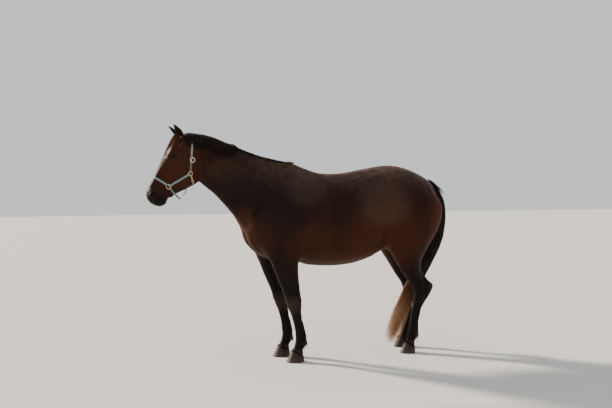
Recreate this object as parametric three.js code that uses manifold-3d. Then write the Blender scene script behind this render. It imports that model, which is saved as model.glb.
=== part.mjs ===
// A standing riding horse in a headcollar, life size. Millimetres, +Z up, the horse faces -X.
// Its left side is towards -Y. The origin lies on the floor, under the middle of the whole horse.
import * as THREE from 'three';
import { ParametricGeometry } from 'three/addons/geometries/ParametricGeometry.js';
import { mergeVertices } from 'three/addons/utils/BufferGeometryUtils.js';
import Module from 'manifold-3d';

const wasm = await Module();
wasm.setup();

// Driving dimensions. The drawing is set out from the ground under the left fore hoof, where x = 0.
const gap = 0.4;                       // clearance between neighbouring pieces
const reach = 3000;                    // half-space boxes are this large
const poll = { x: -836, z: 1783 };     // top of the skull, from where the head is measured
const headTilt = 27;                   // degrees between the face and the vertical
const eye = { s: 214, t: 26, y: 84, radius: 23 };
const hoofSpread = { fore: 118, hind: 124 };
const strapThick = 4.5;
const strapWide = 22;
const maneThick = 13;

// ---------------------------------------------------------------- solids from smooth surfaces

// A closed mesh becomes a solid: shared points are merged and the flat faces at poles dropped.
function solid(geometry) {
  geometry.deleteAttribute('normal');
  geometry.deleteAttribute('uv');
  const merged = mergeVertices(geometry, 1e-3);
  const vertProperties = new Float32Array(merged.attributes.position.array);
  const build = (flip) => {
    const triVerts = [];
    for (let i = 0; i < merged.index.count; i += 3) {
      const [a, b, c] = [0, 1, 2].map((k) => merged.index.getX(i + k));
      if (a !== b && b !== c && c !== a) triVerts.push(a, flip ? c : b, flip ? b : c);
    }
    const mesh = new wasm.Mesh({ numProp: 3, vertProperties, triVerts: new Uint32Array(triVerts) });
    return new wasm.Manifold(mesh);
  };
  const made = build(false);
  return made.volume() > 0 ? made : build(true);
}

const joined = (pieces) => pieces.reduce((sum, piece) => sum.add(piece));

// Superellipse lobe: roundness 2 is an ellipse, more is boxier, less is more pointed.
const lobe = (value, roundness) => Math.sign(value) * Math.abs(value) ** (2 / roundness);

// A surface swept ring by ring, from row 0 to the last row, and closed by a point beyond each end.
// ring(turn, place, target) sets a point on it and middle(place, target) the point that closes it.
function swept(around, rows, ring, middle) {
  return solid(new ParametricGeometry((u, v, target) => {
    const row = Math.round(v * (rows + 2)) - 1;
    const place = THREE.MathUtils.clamp(row / rows, 0, 1);
    if (row < 0 || row > rows) middle(place, target);
    else ring(2 * Math.PI * u, place, target);
  }, around, rows + 2));
}

// Rings of flesh threaded smoothly through their stations. A ring is given by the two ends of its
// middle line, its half width, where along the line it is widest, the roundness of both its halves
// and the side step of its middle. Muscles are soft swellings, set on the left and right alike.
// A ring is [x1, z1, x2, z2, half width, widest, roundness 1, roundness 2, side step].
function flesh(rings, { around, rows, grow = 0, muscles = [] }) {
  const spline = new THREE.CubicInterpolant(rings.map((ring, i) => i), rings.flat(), rings[0].length);
  const line = new THREE.Vector3();
  const outward = new THREE.Vector3();
  const middle = (place, target) => {
    const [x1, z1, x2, z2, , widest, , , side] = spline.evaluate(place * (rings.length - 1));
    line.set(x1 - x2, 0, z1 - z2);
    target.set(x1, side, z1).addScaledVector(line, -widest);
  };
  const ring = (turn, place, target) => {
    middle(place, target);
    outward.copy(target);
    const [, , , , half, widest, round1, round2] = spline.resultBuffer;
    const upper = Math.cos(turn) > 0;
    const roundness = upper ? round1 : round2;
    const length = line.length();
    const along = length * (upper ? widest : 1 - widest) + grow;
    target.addScaledVector(line, lobe(Math.cos(turn), roundness) * along / length);
    target.y += lobe(Math.sin(turn), roundness) * (half + grow);
    outward.subVectors(target, outward).normalize();
    for (const { at, spread, rise } of muscles) {
      const near = ((target.x - at[0]) / spread[0]) ** 2 + ((Math.abs(target.y) - at[1]) / spread[1]) ** 2
        + ((target.z - at[2]) / spread[2]) ** 2;
      target.addScaledVector(outward, rise * Math.exp(-near));
    }
  };
  return swept(around, rows, ring, middle);
}

// Station lists are shorter where all rings stand upright or lie level.
const upright = ([x, top, bottom, ...rest]) => [x, top, x, bottom, ...rest, 0];
const level = ([z, front, back, ...rest]) => [front, z, back, z, ...rest];

// Everything on one side of a plane, given by a point in it and the direction it looks.
function beyond(point, direction, offset = 0) {
  const box = new THREE.BoxGeometry(reach, reach, reach).translate(0, 0, reach / 2 + offset);
  const turn = new THREE.Quaternion().setFromUnitVectors(
    new THREE.Vector3(0, 0, 1), new THREE.Vector3(...direction).normalize());
  return solid(box.applyQuaternion(turn).translate(...point));
}

function box(x1, x2, y1, y2, z1, z2) {
  const shape = new THREE.BoxGeometry(x2 - x1, y2 - y1, z2 - z1);
  return solid(shape.translate((x1 + x2) / 2, (y1 + y2) / 2, (z1 + z2) / 2));
}

// ---------------------------------------------------------------- trunk and neck

//    x, top, bottom, half width, widest, roundness above, below
const trunkRings = [
  [-388, 1130, 1050, 62, .5, 2.2, 2.2],
  [-372, 1230, 955, 136, .5, 2.2, 2.3],
  [-318, 1340, 872, 186, .55, 2.1, 2.4],
  [-215, 1470, 806, 222, .60, 1.8, 2.4],
  [-95, 1560, 780, 236, .60, 1.6, 2.3],
  [20, 1570, 764, 248, .60, 1.5, 2.2],
  [142, 1512, 750, 278, .58, 1.7, 2.2],
  [285, 1481, 735, 300, .55, 1.9, 2.2],
  [432, 1489, 738, 306, .52, 2.0, 2.2],
  [560, 1510, 758, 298, .50, 2.1, 2.2],
  [680, 1537, 800, 284, .48, 2.1, 2.2],
  [790, 1556, 862, 276, .45, 2.0, 2.2],
  [890, 1560, 900, 274, .45, 2.0, 2.2],
  [1000, 1534, 890, 264, .45, 2.0, 2.2],
  [1110, 1492, 890, 238, .42, 2.0, 2.2],
  [1195, 1450, 925, 190, .40, 2.0, 2.0],
  [1250, 1408, 985, 120, .40, 2.0, 2.0],
  [1276, 1365, 1060, 52, .40, 2.0, 2.0],
];
const trunkMuscles = [
  { at: [-345, 175, 1130], spread: [70, 70, 95], rise: 24 },     // point of the shoulder
  { at: [-150, 240, 1300], spread: [90, 90, 170], rise: 14 },    // shoulder blade
  { at: [-60, 240, 1010], spread: [110, 90, 120], rise: 22 },    // triceps
  { at: [-20, 40, 1560], spread: [110, 60, 60], rise: 8 },       // withers
  { at: [800, 250, 1445], spread: [70, 70, 60], rise: 16 },      // point of the hip
  { at: [960, 200, 1480], spread: [150, 90, 90], rise: 14 },     // croup
  { at: [690, 285, 1170], spread: [90, 90, 170], rise: -20 },    // hollow of the flank
];

//    crest x, z, underline x, z, half width, widest, roundness above, below, side step
const neckRings = [
  [-850, 1745, -775, 1500, 52, .5, 2.0, 2.0, 0],
  [-790, 1776, -732, 1400, 66, .5, 1.8, 2.0, 0],
  [-690, 1766, -655, 1350, 72, .5, 1.7, 2.1, 0],
  [-570, 1727, -585, 1280, 80, .55, 1.6, 2.2, 0],
  [-450, 1680, -518, 1208, 94, .6, 1.6, 2.2, 0],
  [-320, 1635, -455, 1132, 118, .62, 1.6, 2.2, 0],
  [-190, 1600, -405, 1040, 150, .62, 1.6, 2.2, 0],
  [-70, 1580, -330, 960, 158, .6, 1.6, 2.2, 0],
  [50, 1545, -200, 930, 130, .6, 1.6, 2.2, 0],
];
const neckMuscles = [
  { at: [-750, 75, 1600], spread: [60, 60, 70], rise: 8 },       // wing of the atlas
  { at: [-470, 90, 1420], spread: [160, 80, 60], rise: 8 },      // long muscle over the neck bones
];

// ---------------------------------------------------------------- head

// A place on the head: s down the face from the poll, t out from it towards the forehead.
const tilt = THREE.MathUtils.degToRad(headTilt);
const headAt = (s, t) => [
  poll.x - s * Math.sin(tilt) - t * Math.cos(tilt),
  poll.z - s * Math.cos(tilt) + t * Math.sin(tilt),
];

//    s, forehead side t, jaw side t, half width, widest, roundness in front, behind
const headRings = [
  [-14, -55, -120, 18, .5, 2.0, 2.0],
  [0, -12, -180, 48, .45, 2.0, 2.0],
  [45, 38, -225, 66, .42, 2.2, 2.0],
  [110, 75, -245, 84, .35, 2.5, 2.0],
  [178, 82, -252, 96, .25, 2.6, 2.0],
  [232, 80, -255, 95, .22, 2.6, 2.0],
  [296, 76, -240, 80, .30, 2.4, 2.2],
  [360, 74, -200, 68, .40, 2.3, 2.3],
  [418, 73, -160, 57, .42, 2.3, 2.2],
  [472, 73, -121, 52, .42, 2.3, 2.1],
  [516, 73, -94, 54, .42, 2.4, 2.1],
  [551, 64, -84, 54, .42, 2.4, 2.2],
  [575, 47, -74, 47, .45, 2.3, 2.2],
  [588, 25, -58, 35, .48, 2.2, 2.1],
  [594, 5, -40, 18, .5, 2.0, 2.0],
];
const inHead = (s, t, y) => {
  const [x, z] = headAt(s, t);
  return [x, y, z];
};
const headMuscles = [
  { at: inHead(205, 55, 92), spread: [42, 26, 42], rise: 7 },      // brow
  { at: inHead(270, -130, 80), spread: [75, 50, 75], rise: 13 },   // cheek
  { at: inHead(325, 5, 70), spread: [60, 26, 45], rise: 7 },       // end of the cheek bone
  { at: inHead(130, -10, 88), spread: [28, 30, 34], rise: -9 },    // hollow over the eye
  { at: inHead(536, 40, 52), spread: [30, 26, 30], rise: 8 },      // rim of the nostril
  { at: inHead(550, -80, 20), spread: [26, 40, 26], rise: 7 },     // chin
  { at: inHead(440, -60, 58), spread: [60, 30, 40], rise: -5 },    // between cheek and mouth
];

const placedHeadRings = headRings.map(([s, front, back, ...rest]) =>
  [...headAt(s, front), ...headAt(s, back), ...rest, 0]);

// ---------------------------------------------------------------- legs

// Legs are level rings: z, front x, back x, half width, widest, roundness front, back, side step.
// side is -1 for the left leg; shift moves a leg along the horse, more towards its foot.
const foreRings = [
  [1240, -250, -60, 40, .5, 2.0, 2.0, 160],
  [1130, -330, 20, 62, .45, 2.0, 2.0, 165],
  [1000, -318, 48, 70, .45, 2.0, 2.0, 165],
  [900, -282, 40, 70, .45, 2.1, 2.0, 163],
  [820, -232, 22, 66, .45, 2.1, 2.0, 157],
  [740, -196, 9, 62, .42, 2.1, 2.0, 151],
  [640, -152, 18, 51, .42, 2.1, 2.0, 144],
  [540, -106, 32, 39, .45, 2.2, 2.0, 138],
  [485, -88, 41, 41, .45, 2.4, 2.0, 134],
  [440, -72, 46, 43, .42, 2.5, 2.1, 131],
  [398, -54, 40, 37, .40, 2.4, 2.1, 129],
  [345, -31, 44, 28, .38, 2.2, 2.1, 126],
  [280, -14, 62, 25, .38, 2.2, 2.1, 124],
  [215, -4, 84, 28, .40, 2.2, 2.1, 122],
  [160, -3, 93, 35, .42, 2.3, 2.1, 120],
  [125, -14, 84, 34, .42, 2.2, 2.1, 119],
  [92, -30, 58, 31, .42, 2.2, 2.1, hoofSpread.fore],
  [70, -42, 56, 42, .45, 2.1, 2.1, hoofSpread.fore],
  [30, -46, 50, 46, .45, 2.0, 2.0, hoofSpread.fore],
];
const hindRings = [
  [1385, 880, 1130, 60, .5, 2.0, 2.0, 140],
  [1310, 806, 1240, 104, .45, 2.0, 2.0, 150],
  [1220, 778, 1292, 118, .45, 2.0, 2.1, 150],
  [1110, 770, 1286, 124, .42, 2.1, 2.1, 148],
  [1000, 768, 1238, 126, .42, 2.1, 2.1, 146],
  [900, 786, 1172, 116, .40, 2.1, 2.0, 146],
  [800, 832, 1108, 88, .40, 2.1, 2.0, 148],
  [710, 890, 1094, 67, .40, 2.1, 1.9, 146],
  [640, 942, 1122, 54, .40, 2.1, 1.8, 140],
  [590, 985, 1186, 46, .38, 2.2, 1.8, 134],
  [552, 1016, 1220, 48, .35, 2.3, 1.9, 130],
  [508, 1034, 1208, 51, .35, 2.3, 1.9, 128],
  [450, 1034, 1166, 46, .38, 2.2, 2.0, 126],
  [392, 1024, 1122, 34, .40, 2.1, 2.1, 125],
  [320, 1008, 1092, 28, .42, 2.1, 2.1, 124],
  [235, 992, 1078, 28, .42, 2.1, 2.1, 124],
  [165, 981, 1078, 36, .42, 2.3, 2.1, 124],
  [125, 972, 1072, 35, .42, 2.2, 2.1, 124],
  [92, 956, 1046, 31, .42, 2.2, 2.1, hoofSpread.hind],
  [70, 946, 1042, 41, .45, 2.1, 2.1, hoofSpread.hind],
  [30, 942, 1036, 44, .45, 2.0, 2.0, hoofSpread.hind],
];

// How far each right leg stands from its left neighbour, by height: a curve through a few steps.
const stepOf = (heights, shifts) => {
  const curve = new THREE.CubicInterpolant(heights, shifts, 1);
  return (z) => curve.evaluate(z)[0];
};
const foreStep = stepOf([0, 150, 450, 800, 1000], [-38, -34, -22, -14, 0]);
const hindStep = stepOf([0, 150, 530, 760, 1000, 1200], [64, 72, 34, 58, 10, 0]);
const stand = (rings, side, step) => rings.map(([z, front, back, half, widest, r1, r2, out]) =>
  level([z, front + step(z), back + step(z), half, widest, r1, r2, side * out]));
const still = () => 0;

const legs = {
  foreleg_left: { end: 'fore', side: -1, step: still, rings: foreRings },
  foreleg_right: { end: 'fore', side: 1, step: foreStep, rings: foreRings },
  hindleg_left: { end: 'hind', side: -1, step: still, rings: hindRings },
  hindleg_right: { end: 'hind', side: 1, step: hindStep, rings: hindRings },
};

// ---------------------------------------------------------------- whole flesh, then its parts

const make = {
  trunk: (grow) => flesh(trunkRings.map(upright), { around: 20, rows: 18, grow, muscles: trunkMuscles }),
  neck: (grow) => flesh(neckRings, { around: 16, rows: 10, grow, muscles: neckMuscles }),
  head: (grow) => flesh(placedHeadRings, { around: 20, rows: 21, grow, muscles: headMuscles }),
};
for (const [name, { rings, side, step }] of Object.entries(legs)) {
  make[name] = (grow) => flesh(stand(rings, side, step), { around: 12, rows: 19, grow });
}
const wholeFlesh = (grow, names = Object.keys(make)) => joined(names.map((name) => make[name](grow)));

// Eyeballs stand in round sockets, nostrils are short pits.
const nostrils = { s: 534, t: 40, y: 58, radii: [11, 17, 22], lean: 0.5, splay: 0.5 };
const eyeball = (side, grow) => {
  const ball = new THREE.SphereGeometry(eye.radius + grow, 10, 7);
  const [x, z] = headAt(eye.s, eye.t);
  return solid(ball.translate(x, side * eye.y, z));
};
const nostril = (side) => {
  const pit = new THREE.SphereGeometry(1, 8, 6).scale(...nostrils.radii);
  const [x, z] = headAt(nostrils.s, nostrils.t);
  const { lean, splay } = nostrils;
  return solid(pit.rotateY(-tilt - lean).rotateZ(side * splay).translate(x, side * nostrils.y, z));
};
const holes = joined([-1, 1].flatMap((side) => [eyeball(side, gap), nostril(side)]));
let rest = wholeFlesh(0).subtract(holes);

// Where each part ends. A region called with a gap is that much larger on its cut faces.
const legBox = { front: -330, back: 48, inside: 66, top: 835 };
const elbow = [-0.979, 0, -0.205];     // the cut behind the foreleg looks this way
const stifle = [786, 0, 905];
const regions = {
  head: (grow) => beyond([-767, 0, 1600], [-0.987, 0, -0.16], -grow),
  neck: (grow) => beyond([-275, 0, 1340], [-0.888, 0, 0.46], -grow),
};
const ends = { left: -1, right: 1 };
for (const [end, side] of Object.entries(ends)) {
  regions[`foreleg_${end}`] = (grow) => {
    const [y1, y2] = [side * (legBox.inside - grow), side * reach].sort((a, b) => a - b);
    return box(legBox.front - grow, reach, y1, y2, -reach, legBox.top + grow)
      .intersect(beyond([legBox.back, 0, legBox.top], elbow, -grow));
  };
  regions[`hindleg_${end}`] = (grow) => beyond(stifle, [1, 0, 0], -grow)
    .intersect(beyond(stifle, [0.2, 0, -1], -grow))
    .intersect(beyond([0, side * gap / 2, 0], [0, side, 0], -grow));
}
const parts = {};
for (const [name, region] of Object.entries(regions)) {
  parts[name] = rest.intersect(region(0));
  rest = rest.subtract(region(gap));
}
parts.trunk = rest;

// ---------------------------------------------------------------- hooves

//    z, front x, back x, half width, widest, roundness front, back
const hoofRings = {
  fore: [
    [104, -32, 52, 38, .45, 2.1, 2.4],
    [70, -49, 62, 49, .45, 2.1, 2.4],
    [35, -63, 68, 57, .45, 2.1, 2.4],
    [0, -78, 73, 64, .45, 2.1, 2.5],
  ],
  hind: [
    [104, 954, 1034, 36, .45, 2.1, 2.4],
    [70, 940, 1042, 46, .45, 2.0, 2.4],
    [35, 926, 1046, 53, .45, 2.0, 2.4],
    [0, 914, 1050, 59, .45, 2.0, 2.5],
  ],
};
const coronet = { height: 62, slope: [-0.33, 0, -0.944] };
const hooves = {};
for (const [name, { end, side, step }] of Object.entries(legs)) {
  const rings = stand(hoofRings[end].map((ring) => [...ring, hoofSpread[end]]), side, step);
  const foot = flesh(rings, { around: 14, rows: 3 });
  const [front, , back, , , , , , y] = rings.at(-1);
  const middle = [(front + back) / 2, y, coronet.height];
  hooves[name.replace('leg', 'hoof')] = foot.intersect(beyond(middle, coronet.slope, gap));
  parts[name] = parts[name].subtract(beyond(middle, coronet.slope));
}

// ---------------------------------------------------------------- ears

// An ear is a leaf curled round its own length. It opens forwards and out.
const ear = {
  root: [-880, 50, 1742], tip: { left: [-953, 74, 1848], right: [-969, 74, 1846] },
  opens: [-0.8, 0.55, -0.3], halfWidths: [20, 28, 31, 28, 20, 9, 1.5], curl: 0.85, hollow: 0.5,
};
function earSolid(end, side) {
  const turned = ([x, y, z]) => new THREE.Vector3(x, side * y, z);
  const [root, tip, opens] = [ear.root, ear.tip[end], ear.opens].map(turned);
  const axis = tip.clone().sub(root);
  const across = new THREE.Vector3().crossVectors(axis, opens).normalize();
  const back = new THREE.Vector3().crossVectors(axis, across).normalize();
  if (back.dot(opens) > 0) back.negate();
  const width = new THREE.CubicInterpolant(ear.halfWidths.map((w, i) => i), ear.halfWidths, 1);
  const middle = (place, target) => {
    target.copy(root).addScaledVector(axis, place);
  };
  const ring = (turn, place, target) => {
    const half = width.evaluate(place * (ear.halfWidths.length - 1))[0];
    const hollow = THREE.MathUtils.lerp(-1, ear.hollow, THREE.MathUtils.smoothstep(place, 0.05, 0.3));
    const depth = Math.cos(turn) > 0 ? Math.cos(turn) : -Math.cos(turn) * hollow;
    middle(place, target);
    target.addScaledVector(across, half * Math.sin(turn));
    target.addScaledVector(back, half * ear.curl * depth);
  };
  return swept(10, 6, ring, middle);
}

// ---------------------------------------------------------------- mane, forelock and tail

// Locks hang from the crest: a saw edge of pointed locks, drawn from the side and laid on the neck.
const crest = new THREE.CubicInterpolant([-850, -790, -690, -570, -450, -320, -190, -70, 20],
  [1776, 1785, 1774, 1737, 1690, 1645, 1610, 1590, 1585], 1);
const maneDepth = {
  left: new THREE.CubicInterpolant([-850, -700, -600, -530, -480, -300, 20],
    [78, 76, 92, 74, 34, 20, 12], 1),
  right: new THREE.CubicInterpolant([-850, -480, -300, 20], [34, 30, 26, 12], 1),
};
const maneLocks = { start: -846, end: -20, count: 11, lean: 22, root: 0.72, point: 1.05 };
const overhead = 1900;                 // drawn outlines of hair start up here, clear of the horse
const aside = 300;                     // and are cut this far out to the side
function locks(depth, side) {
  const { start, end, count, lean, root, point } = maneLocks;
  const outline = new THREE.Shape([new THREE.Vector2(end, overhead), new THREE.Vector2(start, overhead)]);
  for (let i = 0; i <= count; i += 1) {
    const x = THREE.MathUtils.lerp(start, end, i / count);
    const drop = (far, share) => crest.evaluate(far)[0] - depth.evaluate(far)[0] * share;
    outline.lineTo(x, drop(x, root));
    if (i < count) outline.lineTo(x + lean, drop(x + lean / 2, point));
  }
  const slab = new THREE.ExtrudeGeometry(outline, { depth: aside, bevelEnabled: false });
  return solid(slab.rotateX(Math.PI / 2).translate(0, side > 0 ? aside : 0, 0));
}
const skinOf = (inner, outer, names) => wholeFlesh(outer, names).subtract(wholeFlesh(inner));
const maneShell = skinOf(gap, maneThick, ['head', 'neck', 'trunk']);
let mane = maneShell.intersect(locks(maneDepth.left, -1).add(locks(maneDepth.right, 1)));

// The forelock is a pointed lock on the forehead, parted from the mane by the crown of the halter.
const forelockThick = 9;
const forelockBack = -851;
const forelockOutline = new THREE.Shape([[-34, overhead], [34, overhead], [36, 1745], [20, 1700],
  [6, 1655], [-10, 1668], [-26, 1705], [-38, 1750]].map(([y, z]) => new THREE.Vector2(y, z)));
const forelockSlab = new THREE.ExtrudeGeometry(forelockOutline, { depth: aside, bevelEnabled: false })
  .rotateX(Math.PI / 2).rotateZ(-Math.PI / 2).translate(forelockBack, 0, 0);
let forelock = skinOf(gap, forelockThick, ['head', 'neck']).intersect(solid(forelockSlab));

// The tail hangs from the dock, swings in under the buttocks and forwards between the hind legs.
//    z, front x, back x, half width, widest, roundness front, back, side step
const tailRings = [
  [1398, 1285, 1318, 16, .5, 2, 2, 0],
  [1380, 1262, 1358, 30, .5, 2, 2, 0],
  [1270, 1262, 1390, 44, .5, 2, 2, 0],
  [1120, 1276, 1410, 58, .5, 2, 2, 0],
  [1000, 1268, 1394, 60, .5, 2, 2, 0],
  [870, 1228, 1345, 54, .5, 2, 2, 0],
  [780, 1184, 1292, 44, .5, 2, 2, 0],
  [690, 1128, 1242, 36, .5, 2, 2, 0],
  [600, 1066, 1190, 33, .5, 2, 2, 0],
  [510, 1000, 1142, 34, .5, 2, 2, 0],
  [400, 940, 1086, 36, .5, 2, 2, 0],
  [280, 880, 1030, 38, .5, 2, 2, 0],
  [170, 838, 992, 36, .5, 2, 2, 0],
  [90, 826, 966, 28, .5, 2, 2, 0],
  [58, 846, 930, 14, .5, 2, 2, 0],
];
const tail = flesh(tailRings.map(level), { around: 8, rows: 16 })
  .subtract(wholeFlesh(gap)).subtract(make.trunk(gap).translate([gap, 0, 0]));

// ---------------------------------------------------------------- headcollar

// Fittings of the headcollar by their place on the head: s, t, distance from the middle, ring radius.
const fitting = {
  side: { s: 429, t: -44, y: 60, radius: 16, sides: ['left', 'right'], trim: 16 },
  cheek: { s: 270, t: -148, y: 86, radius: 14, sides: ['left', 'right'], trim: 14 },
  buckle: { s: 172, t: -111, y: 94, radius: 17, sides: ['left'] },
};
const wire = 3.2;                      // half the thickness of a ring

// A straight band region from one place on the head to another, right through it.
function band(from, to, { trimStart = 0, trimEnd = 0, y1 = -aside, y2 = aside, wide = strapWide }) {
  const [[x1, z1], [x2, z2]] = [headAt(...from), headAt(...to)];
  const length = Math.hypot(x2 - x1, z2 - z1);
  const shape = new THREE.BoxGeometry(length - trimStart - trimEnd, y2 - y1, wide);
  shape.translate((length + trimStart - trimEnd) / 2, (y1 + y2) / 2, 0);
  return solid(shape.rotateY(-Math.atan2(z2 - z1, x2 - x1)).translate(x1, 0, z1));
}
const at = ({ s, t }) => [s, t];
const strapEnds = {
  noseband: ['side', [404, 180]],
  chin_strap: ['side', [497, -206]],
  crown: ['cheek', [-88, 4]],
  throat_strap: ['cheek', [313, -296]],
};
const headSkin = skinOf(gap, strapThick, ['head', 'neck']);
const straps = {};
for (const [name, [ring, end]] of Object.entries(strapEnds)) {
  const region = band(at(fitting[ring]), end, { trimStart: fitting[ring].trim });
  straps[`halter_${name}`] = headSkin.intersect(region);
}
for (const [end, y1, y2] of [['left', -aside, 0], ['right', 0, aside]]) {
  const trims = { trimStart: fitting.side.trim, trimEnd: fitting.cheek.trim };
  const region = band(at(fitting.side), at(fitting.cheek), { ...trims, y1, y2 });
  straps[`halter_cheek_strap_${end}`] = headSkin.intersect(region);
}

// Round fittings lie on the straps: plain rings, kept clear of the straps under them.
const strapClear = wholeFlesh(strapThick + gap, ['head', 'neck']);
const underCrown = band(at(fitting.cheek), strapEnds.crown[1], { wide: strapWide + 2 * gap });
mane = mane.subtract(strapClear.intersect(underCrown));
const fittings = {};
for (const [name, { s, t, y, radius, sides }] of Object.entries(fitting)) {
  for (const end of sides) {
    const [x, z] = headAt(s, t);
    const ring = new THREE.TorusGeometry(radius, wire, 4, 12).rotateX(Math.PI / 2);
    ring.translate(x, end === 'left' ? -y : y, z);
    fittings[`halter_${name}_ring_${end}`] = solid(ring).subtract(strapClear);
  }
}

// ---------------------------------------------------------------- the whole group

const finish = {
  coat: { color: 0x4a2c1c, roughness: 0.6, metalness: 0 },
  points: { color: 0x1d1613, roughness: 0.6, metalness: 0 },
  hair: { color: 0x17110f, roughness: 0.7, metalness: 0 },
  hoof: { color: 0x6b5d54, roughness: 0.55, metalness: 0 },
  eye: { color: 0x160e0a, roughness: 0.05, metalness: 0 },
  webbing: { color: 0x9fb4bd, roughness: 0.8, metalness: 0 },
  metal: { color: 0xb9ad8c, roughness: 0.35, metalness: 1 },
};
const horse = new THREE.Group();

function add(name, piece, look) {
  const { vertProperties, triVerts } = piece.getMesh();
  const geometry = new THREE.BufferGeometry();
  geometry.setAttribute('position', new THREE.BufferAttribute(new Float32Array(vertProperties), 3));
  geometry.setIndex(new THREE.BufferAttribute(new Uint32Array(triVerts), 1));
  geometry.computeVertexNormals();
  const mesh = new THREE.Mesh(geometry, new THREE.MeshStandardMaterial(finish[look]));
  mesh.name = name;
  horse.add(mesh);
}

const headClear = wholeFlesh(gap, ['head', 'neck']);
for (const [end, side] of Object.entries(ends)) {
  const shape = earSolid(end, side);
  add(`ear_${end}`, shape.subtract(headClear), 'points');
  add(`eye_${end}`, eyeball(side, 0), 'eye');
  forelock = forelock.subtract(shape);
  mane = mane.subtract(shape);
}
for (const [name, piece] of Object.entries(parts)) add(name, piece, 'coat');
for (const [name, piece] of Object.entries(hooves)) add(name, piece, 'hoof');
for (const [name, piece] of Object.entries(straps)) add(name, piece, 'webbing');
for (const [name, piece] of Object.entries(fittings)) add(name, piece, 'metal');
add('mane', mane, 'hair');
add('forelock', forelock, 'hair');
add('tail', tail, 'hair');

// The floor lies at z = 0 already; the origin goes under the middle of the whole horse.
const extent = new THREE.Box3().setFromObject(horse);
horse.position.set(-(extent.min.x + extent.max.x) / 2, -(extent.min.y + extent.max.y) / 2, -extent.min.z);
const part = new THREE.Group().add(horse);

export default part;
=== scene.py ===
import math
import bmesh
import bpy
import numpy as np
from mathutils import Matrix, Vector
from mathutils.bvhtree import BVHTree


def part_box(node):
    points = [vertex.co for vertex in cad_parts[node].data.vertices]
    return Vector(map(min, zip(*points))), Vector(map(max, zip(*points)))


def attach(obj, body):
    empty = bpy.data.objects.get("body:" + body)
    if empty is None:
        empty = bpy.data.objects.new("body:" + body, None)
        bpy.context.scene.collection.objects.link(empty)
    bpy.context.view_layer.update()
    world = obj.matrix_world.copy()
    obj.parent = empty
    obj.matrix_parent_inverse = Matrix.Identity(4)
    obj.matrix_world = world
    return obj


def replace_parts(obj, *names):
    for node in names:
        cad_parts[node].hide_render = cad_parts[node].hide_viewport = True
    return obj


# A life-size dark bay riding horse in a webbing headcollar, standing still.
# Metres, +Z up. It faces -X and its left side looks to -Y.

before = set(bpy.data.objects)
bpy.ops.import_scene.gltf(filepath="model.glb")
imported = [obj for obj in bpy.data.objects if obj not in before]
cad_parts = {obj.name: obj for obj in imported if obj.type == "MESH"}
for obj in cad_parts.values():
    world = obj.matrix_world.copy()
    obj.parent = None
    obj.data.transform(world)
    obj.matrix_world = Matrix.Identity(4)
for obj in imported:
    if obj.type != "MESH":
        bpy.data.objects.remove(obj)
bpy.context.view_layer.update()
scene = bpy.context.scene
luck = np.random.default_rng(7)


camera = {
    "at": (-2.11, -5.785, 1.392),
    "turn": -20.0,      # degrees about the vertical, from looking along +Y
    "dip": 1.42,        # degrees below level
    "lens": 45.0,
}


def makeCamera():
    data = bpy.data.cameras.new("camera")
    data.lens = camera["lens"]
    data.sensor_width = 36.0
    seat = bpy.data.objects.new("camera", data)
    seat.location = camera["at"]
    seat.rotation_euler = (math.radians(90 - camera["dip"]), 0, math.radians(camera["turn"]))
    scene.collection.objects.link(seat)
    scene.camera = seat
    print("camera ready")


makeCamera()


def middleOf(node):
    low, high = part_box(node)
    return (low + high) / 2


# places on the horse are taken from the frame
faceTilt = math.radians(27)     # between the face and the vertical
eyeOnHead = (0.214, 0.026)      # of the eye's middle, down the face and out from it
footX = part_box("forehoof_left")[0].x + 0.078    # lengths along the horse start here
eyeMid = middleOf("eye_left")
pollX = eyeMid.x + eyeOnHead[0] * math.sin(faceTilt) + eyeOnHead[1] * math.cos(faceTilt)
pollZ = eyeMid.z + eyeOnHead[0] * math.cos(faceTilt) - eyeOnHead[1] * math.sin(faceTilt)
downFace = Vector((-math.sin(faceTilt), 0, -math.cos(faceTilt)))
offFace = Vector((-math.cos(faceTilt), 0, math.sin(faceTilt)))


# a place on the head: s down the face from the poll, t out from its middle line, y sideways
def onHead(s, t, y=0.0):
    return Vector((pollX, y, pollZ)) + downFace * s + offFace * t


# a place on the body, with x from the left fore foot
def onBody(x, y, z):
    return Vector((x + footX, y, z))


def smoothStep(value, low, high):
    share = np.clip((value - low) / (high - low), 0, 1)
    return share * share * (3 - 2 * share)


def unit(vectors):
    return vectors / np.maximum(np.linalg.norm(vectors, axis=-1, keepdims=True), 1e-9)


# the part of a way that lies square to another one, at length 1
def squareTo(way, other):
    return unit(way - other * np.sum(way * other, axis=-1, keepdims=True))


# goes from one to the other by a share for each row
def blend(one, other, share):
    return one * (1 - share[:, None]) + np.array(other) * share[:, None]


def mirrored(values, side):
    return np.array(values) * (1, side, 1)


# right legs stand a step away from the left ones, by height
foreStep = ([0, 0.15, 0.45, 0.8, 1.0], [-0.038, -0.034, -0.022, -0.014, 0.0])
hindStep = ([0, 0.15, 0.53, 0.76, 1.0, 1.2], [0.064, 0.072, 0.034, 0.058, 0.01, 0.0])


def stepAt(end, z):
    return float(np.interp(z, *(foreStep if end == "fore" else hindStep)))


# a place on a leg, with x as it is on the left one
def onLeg(end, side, x, y, z):
    return onBody(x + (stepAt(end, z) if side > 0 else 0), y, z)


# a mesh's points, or their normals, as rows
def pointsOf(mesh, what="co"):
    flat = np.empty(len(mesh.vertices) * 3, np.float32)
    mesh.vertices.foreach_get(what, flat)
    return flat.reshape(-1, 3).astype(float)


def normalsOf(mesh):
    return pointsOf(mesh, "normal")


def setPoints(mesh, points):
    mesh.vertices.foreach_set("co", points.astype(np.float32).ravel())
    mesh.update()


def newPiece(name, mesh):
    piece = bpy.data.objects.new(name, mesh)
    scene.collection.objects.link(piece)
    return piece


def smoothShade(mesh, smooth=True):
    mesh.polygons.foreach_set("use_smooth", [smooth] * len(mesh.polygons))


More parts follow.
